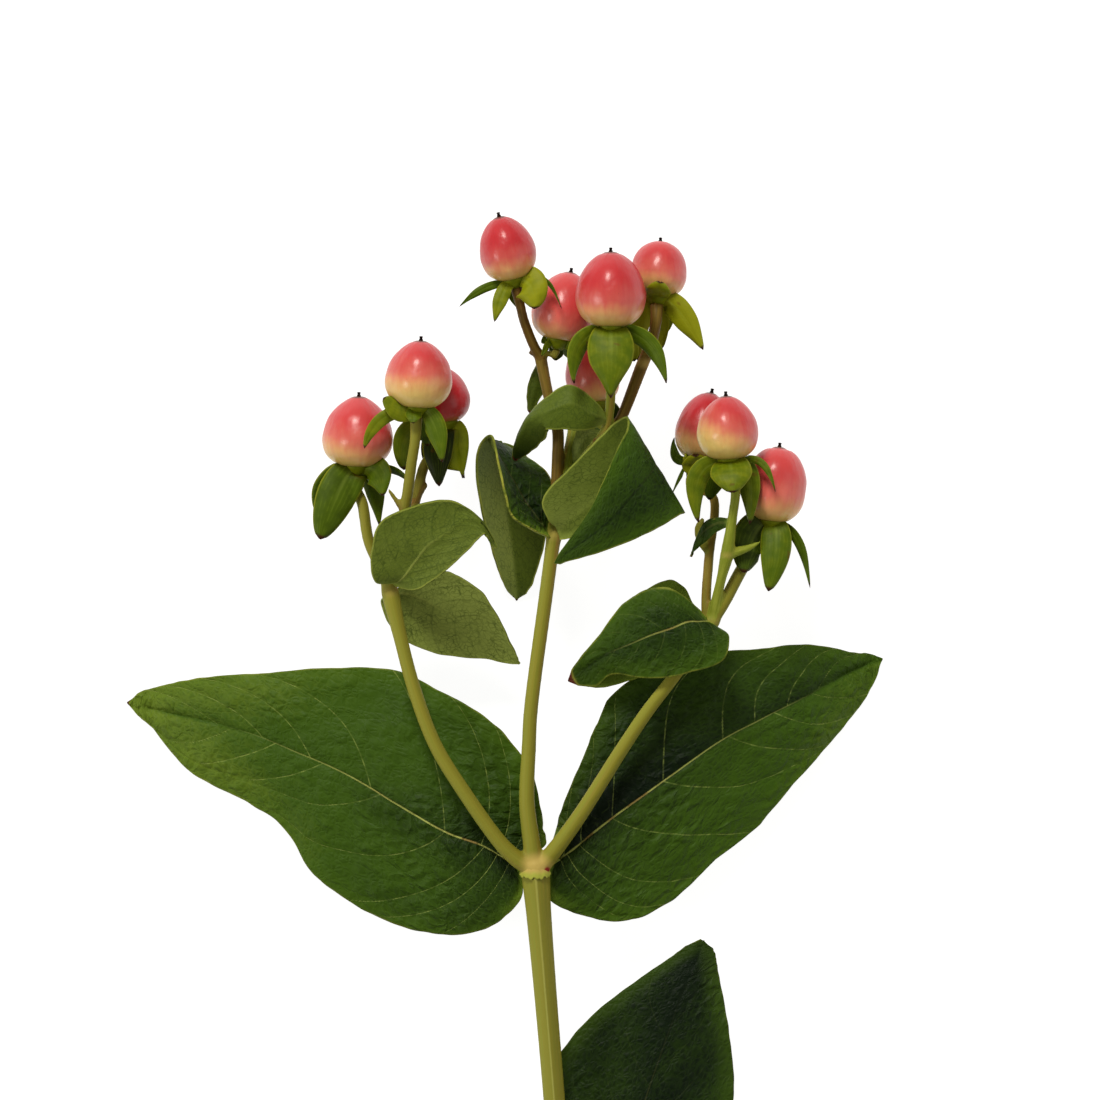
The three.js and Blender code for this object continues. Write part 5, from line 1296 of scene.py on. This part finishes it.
def stem_piece(skin):
    """The stem with every shoot, stalk and bract, grown as one."""
    routes = [*SHOOTS, *(stalk_points(berry) for berry in BERRIES.values()), *BRACTS]
    tones = np.array([*SHOOT_TONES, *(STALK_TONES[name] for name in BERRIES), *BRACT_TONES])
    lengths = np.array([run_length(route) for route in routes])
    bm = bmesh.new()
    for route in routes:
        tube(bm, route)
    bmesh.ops.holes_fill(bm, edges=[edge for edge in bm.edges if edge.is_boundary], sides=0)
    bmesh.ops.recalc_face_normals(bm, faces=bm.faces)
    bm = grown_together(bm)
    points = np.array([corner.co for corner in bm.verts]) / MM - FORK
    route, share, middle, ahead, width = nearest_marks(points, routes)
    front = facing_up(ahead)
    side = np.cross(front, ahead)
    off = points - middle
    angle = np.arctan2((off * side).sum(1), (off * front).sum(1))
    joint = np.zeros(len(points))
    for spot, reach, strength in JOINTS:
        off_joint = np.linalg.norm((points - spot) * (1, 1.3, 0.6), axis=1)
        joint = np.maximum(joint, strength * smooth(off_joint, reach, 0.4 * reach))
    fleck = smooth(np.linalg.norm(points[:, :2] - RED_SPOT, axis=1), 0.55, 0.3)
    flat = (3 * np.sin(angle) * width, share * lengths[route] * 0.12,
            route * 5.0 + 3 * np.cos(angle) * width)
    ribbed = np.where(route == 0, 1.0, 0.1)
    ridge = np.exp(-(np.minimum(np.abs(angle), math.pi - np.abs(angle)) / 0.16) ** 2)
    rise = (ridge * 0.09 - 0.1 * np.sin(2 * angle) ** 2) * ribbed * width
    place(bm.verts, points + unit(off) * rise[:, None])
    write(bm, bm.verts, shoot=(angle, share, tones[route]), flat=flat, joint=(joint, fleck, ribbed))
    collar(bm)
    piece("stem", bm, skin, "stem_skin", "stem")


# ---- the table, the light and the camera ----
def table():
    bm = bmesh.new()
    bmesh.ops.create_grid(bm, x_segments=1, y_segments=1, size=TABLE_REACH)
    mesh = meshed("table", bm)
    paint = Paint("light table")
    mesh.materials.append(paint.finish(
        Base_Color=colour(TABLE_GREY), Roughness=0.9,
        Emission_Color=(1, 1, 1, 1), Emission_Strength=TABLE_GLOW))
    made = add("table", mesh)


def lamp(name, size, power, spot):
    """A round lamp aimed at the middle of the frame."""
    light = bpy.data.lights.new(name, "AREA")
    light.shape = "DISK"
    light.size = size
    light.energy = power
    light.color = LAMP_TINT
    made = add(name, light)
    made.location = spot
    made.rotation_euler = (-Vector(spot)).to_track_quat("-Z", "Y").to_euler()


def studio():
    world = bpy.data.worlds.new("studio")
    bpy.context.scene.world = world
    world.use_nodes = True
    background = world.node_tree.nodes["Background"]
    background.inputs["Color"].default_value = ROOM_TINT
    background.inputs["Strength"].default_value = ROOM_LIGHT
    for name, settings in LAMPS.items():
        lamp(name, *settings)


def camera():
    """Looks straight down, from so far that the view is nearly without perspective."""
    centre = VIEW_PIXELS / 2
    middle = Vector(((centre - FORK_PIXEL[0]) * PIXEL + FORK[0],
                     (FORK_PIXEL[1] - centre) * PIXEL + FORK[1], VIEW_LEVEL)) * MM
    view = bpy.data.cameras.new("camera")
    view.lens = LENS
    view.sensor_width = SENSOR
    made = add("camera", view)
    made.location = middle + Vector((0, 0, VIEW_PIXELS * PIXEL * MM * LENS / SENSOR))
    bpy.context.scene.camera = made


camera()
upper_side = leaf_upper()
under_side = leaf_under()
for leaf_name in LEAVES:
    leaf(leaf_name, upper_side, under_side)
red_skin, green_skin, black_tip = berry_skin(), sepal_skin(), dry_style()
for berry_name in BERRIES:
    berry_piece(berry_name, red_skin)
    calyx_piece(berry_name, green_skin)
    style_piece(berry_name, black_tip)
stem_piece(stem_skin())
table()
studio()
bpy.context.scene.view_settings.view_transform = "Standard"
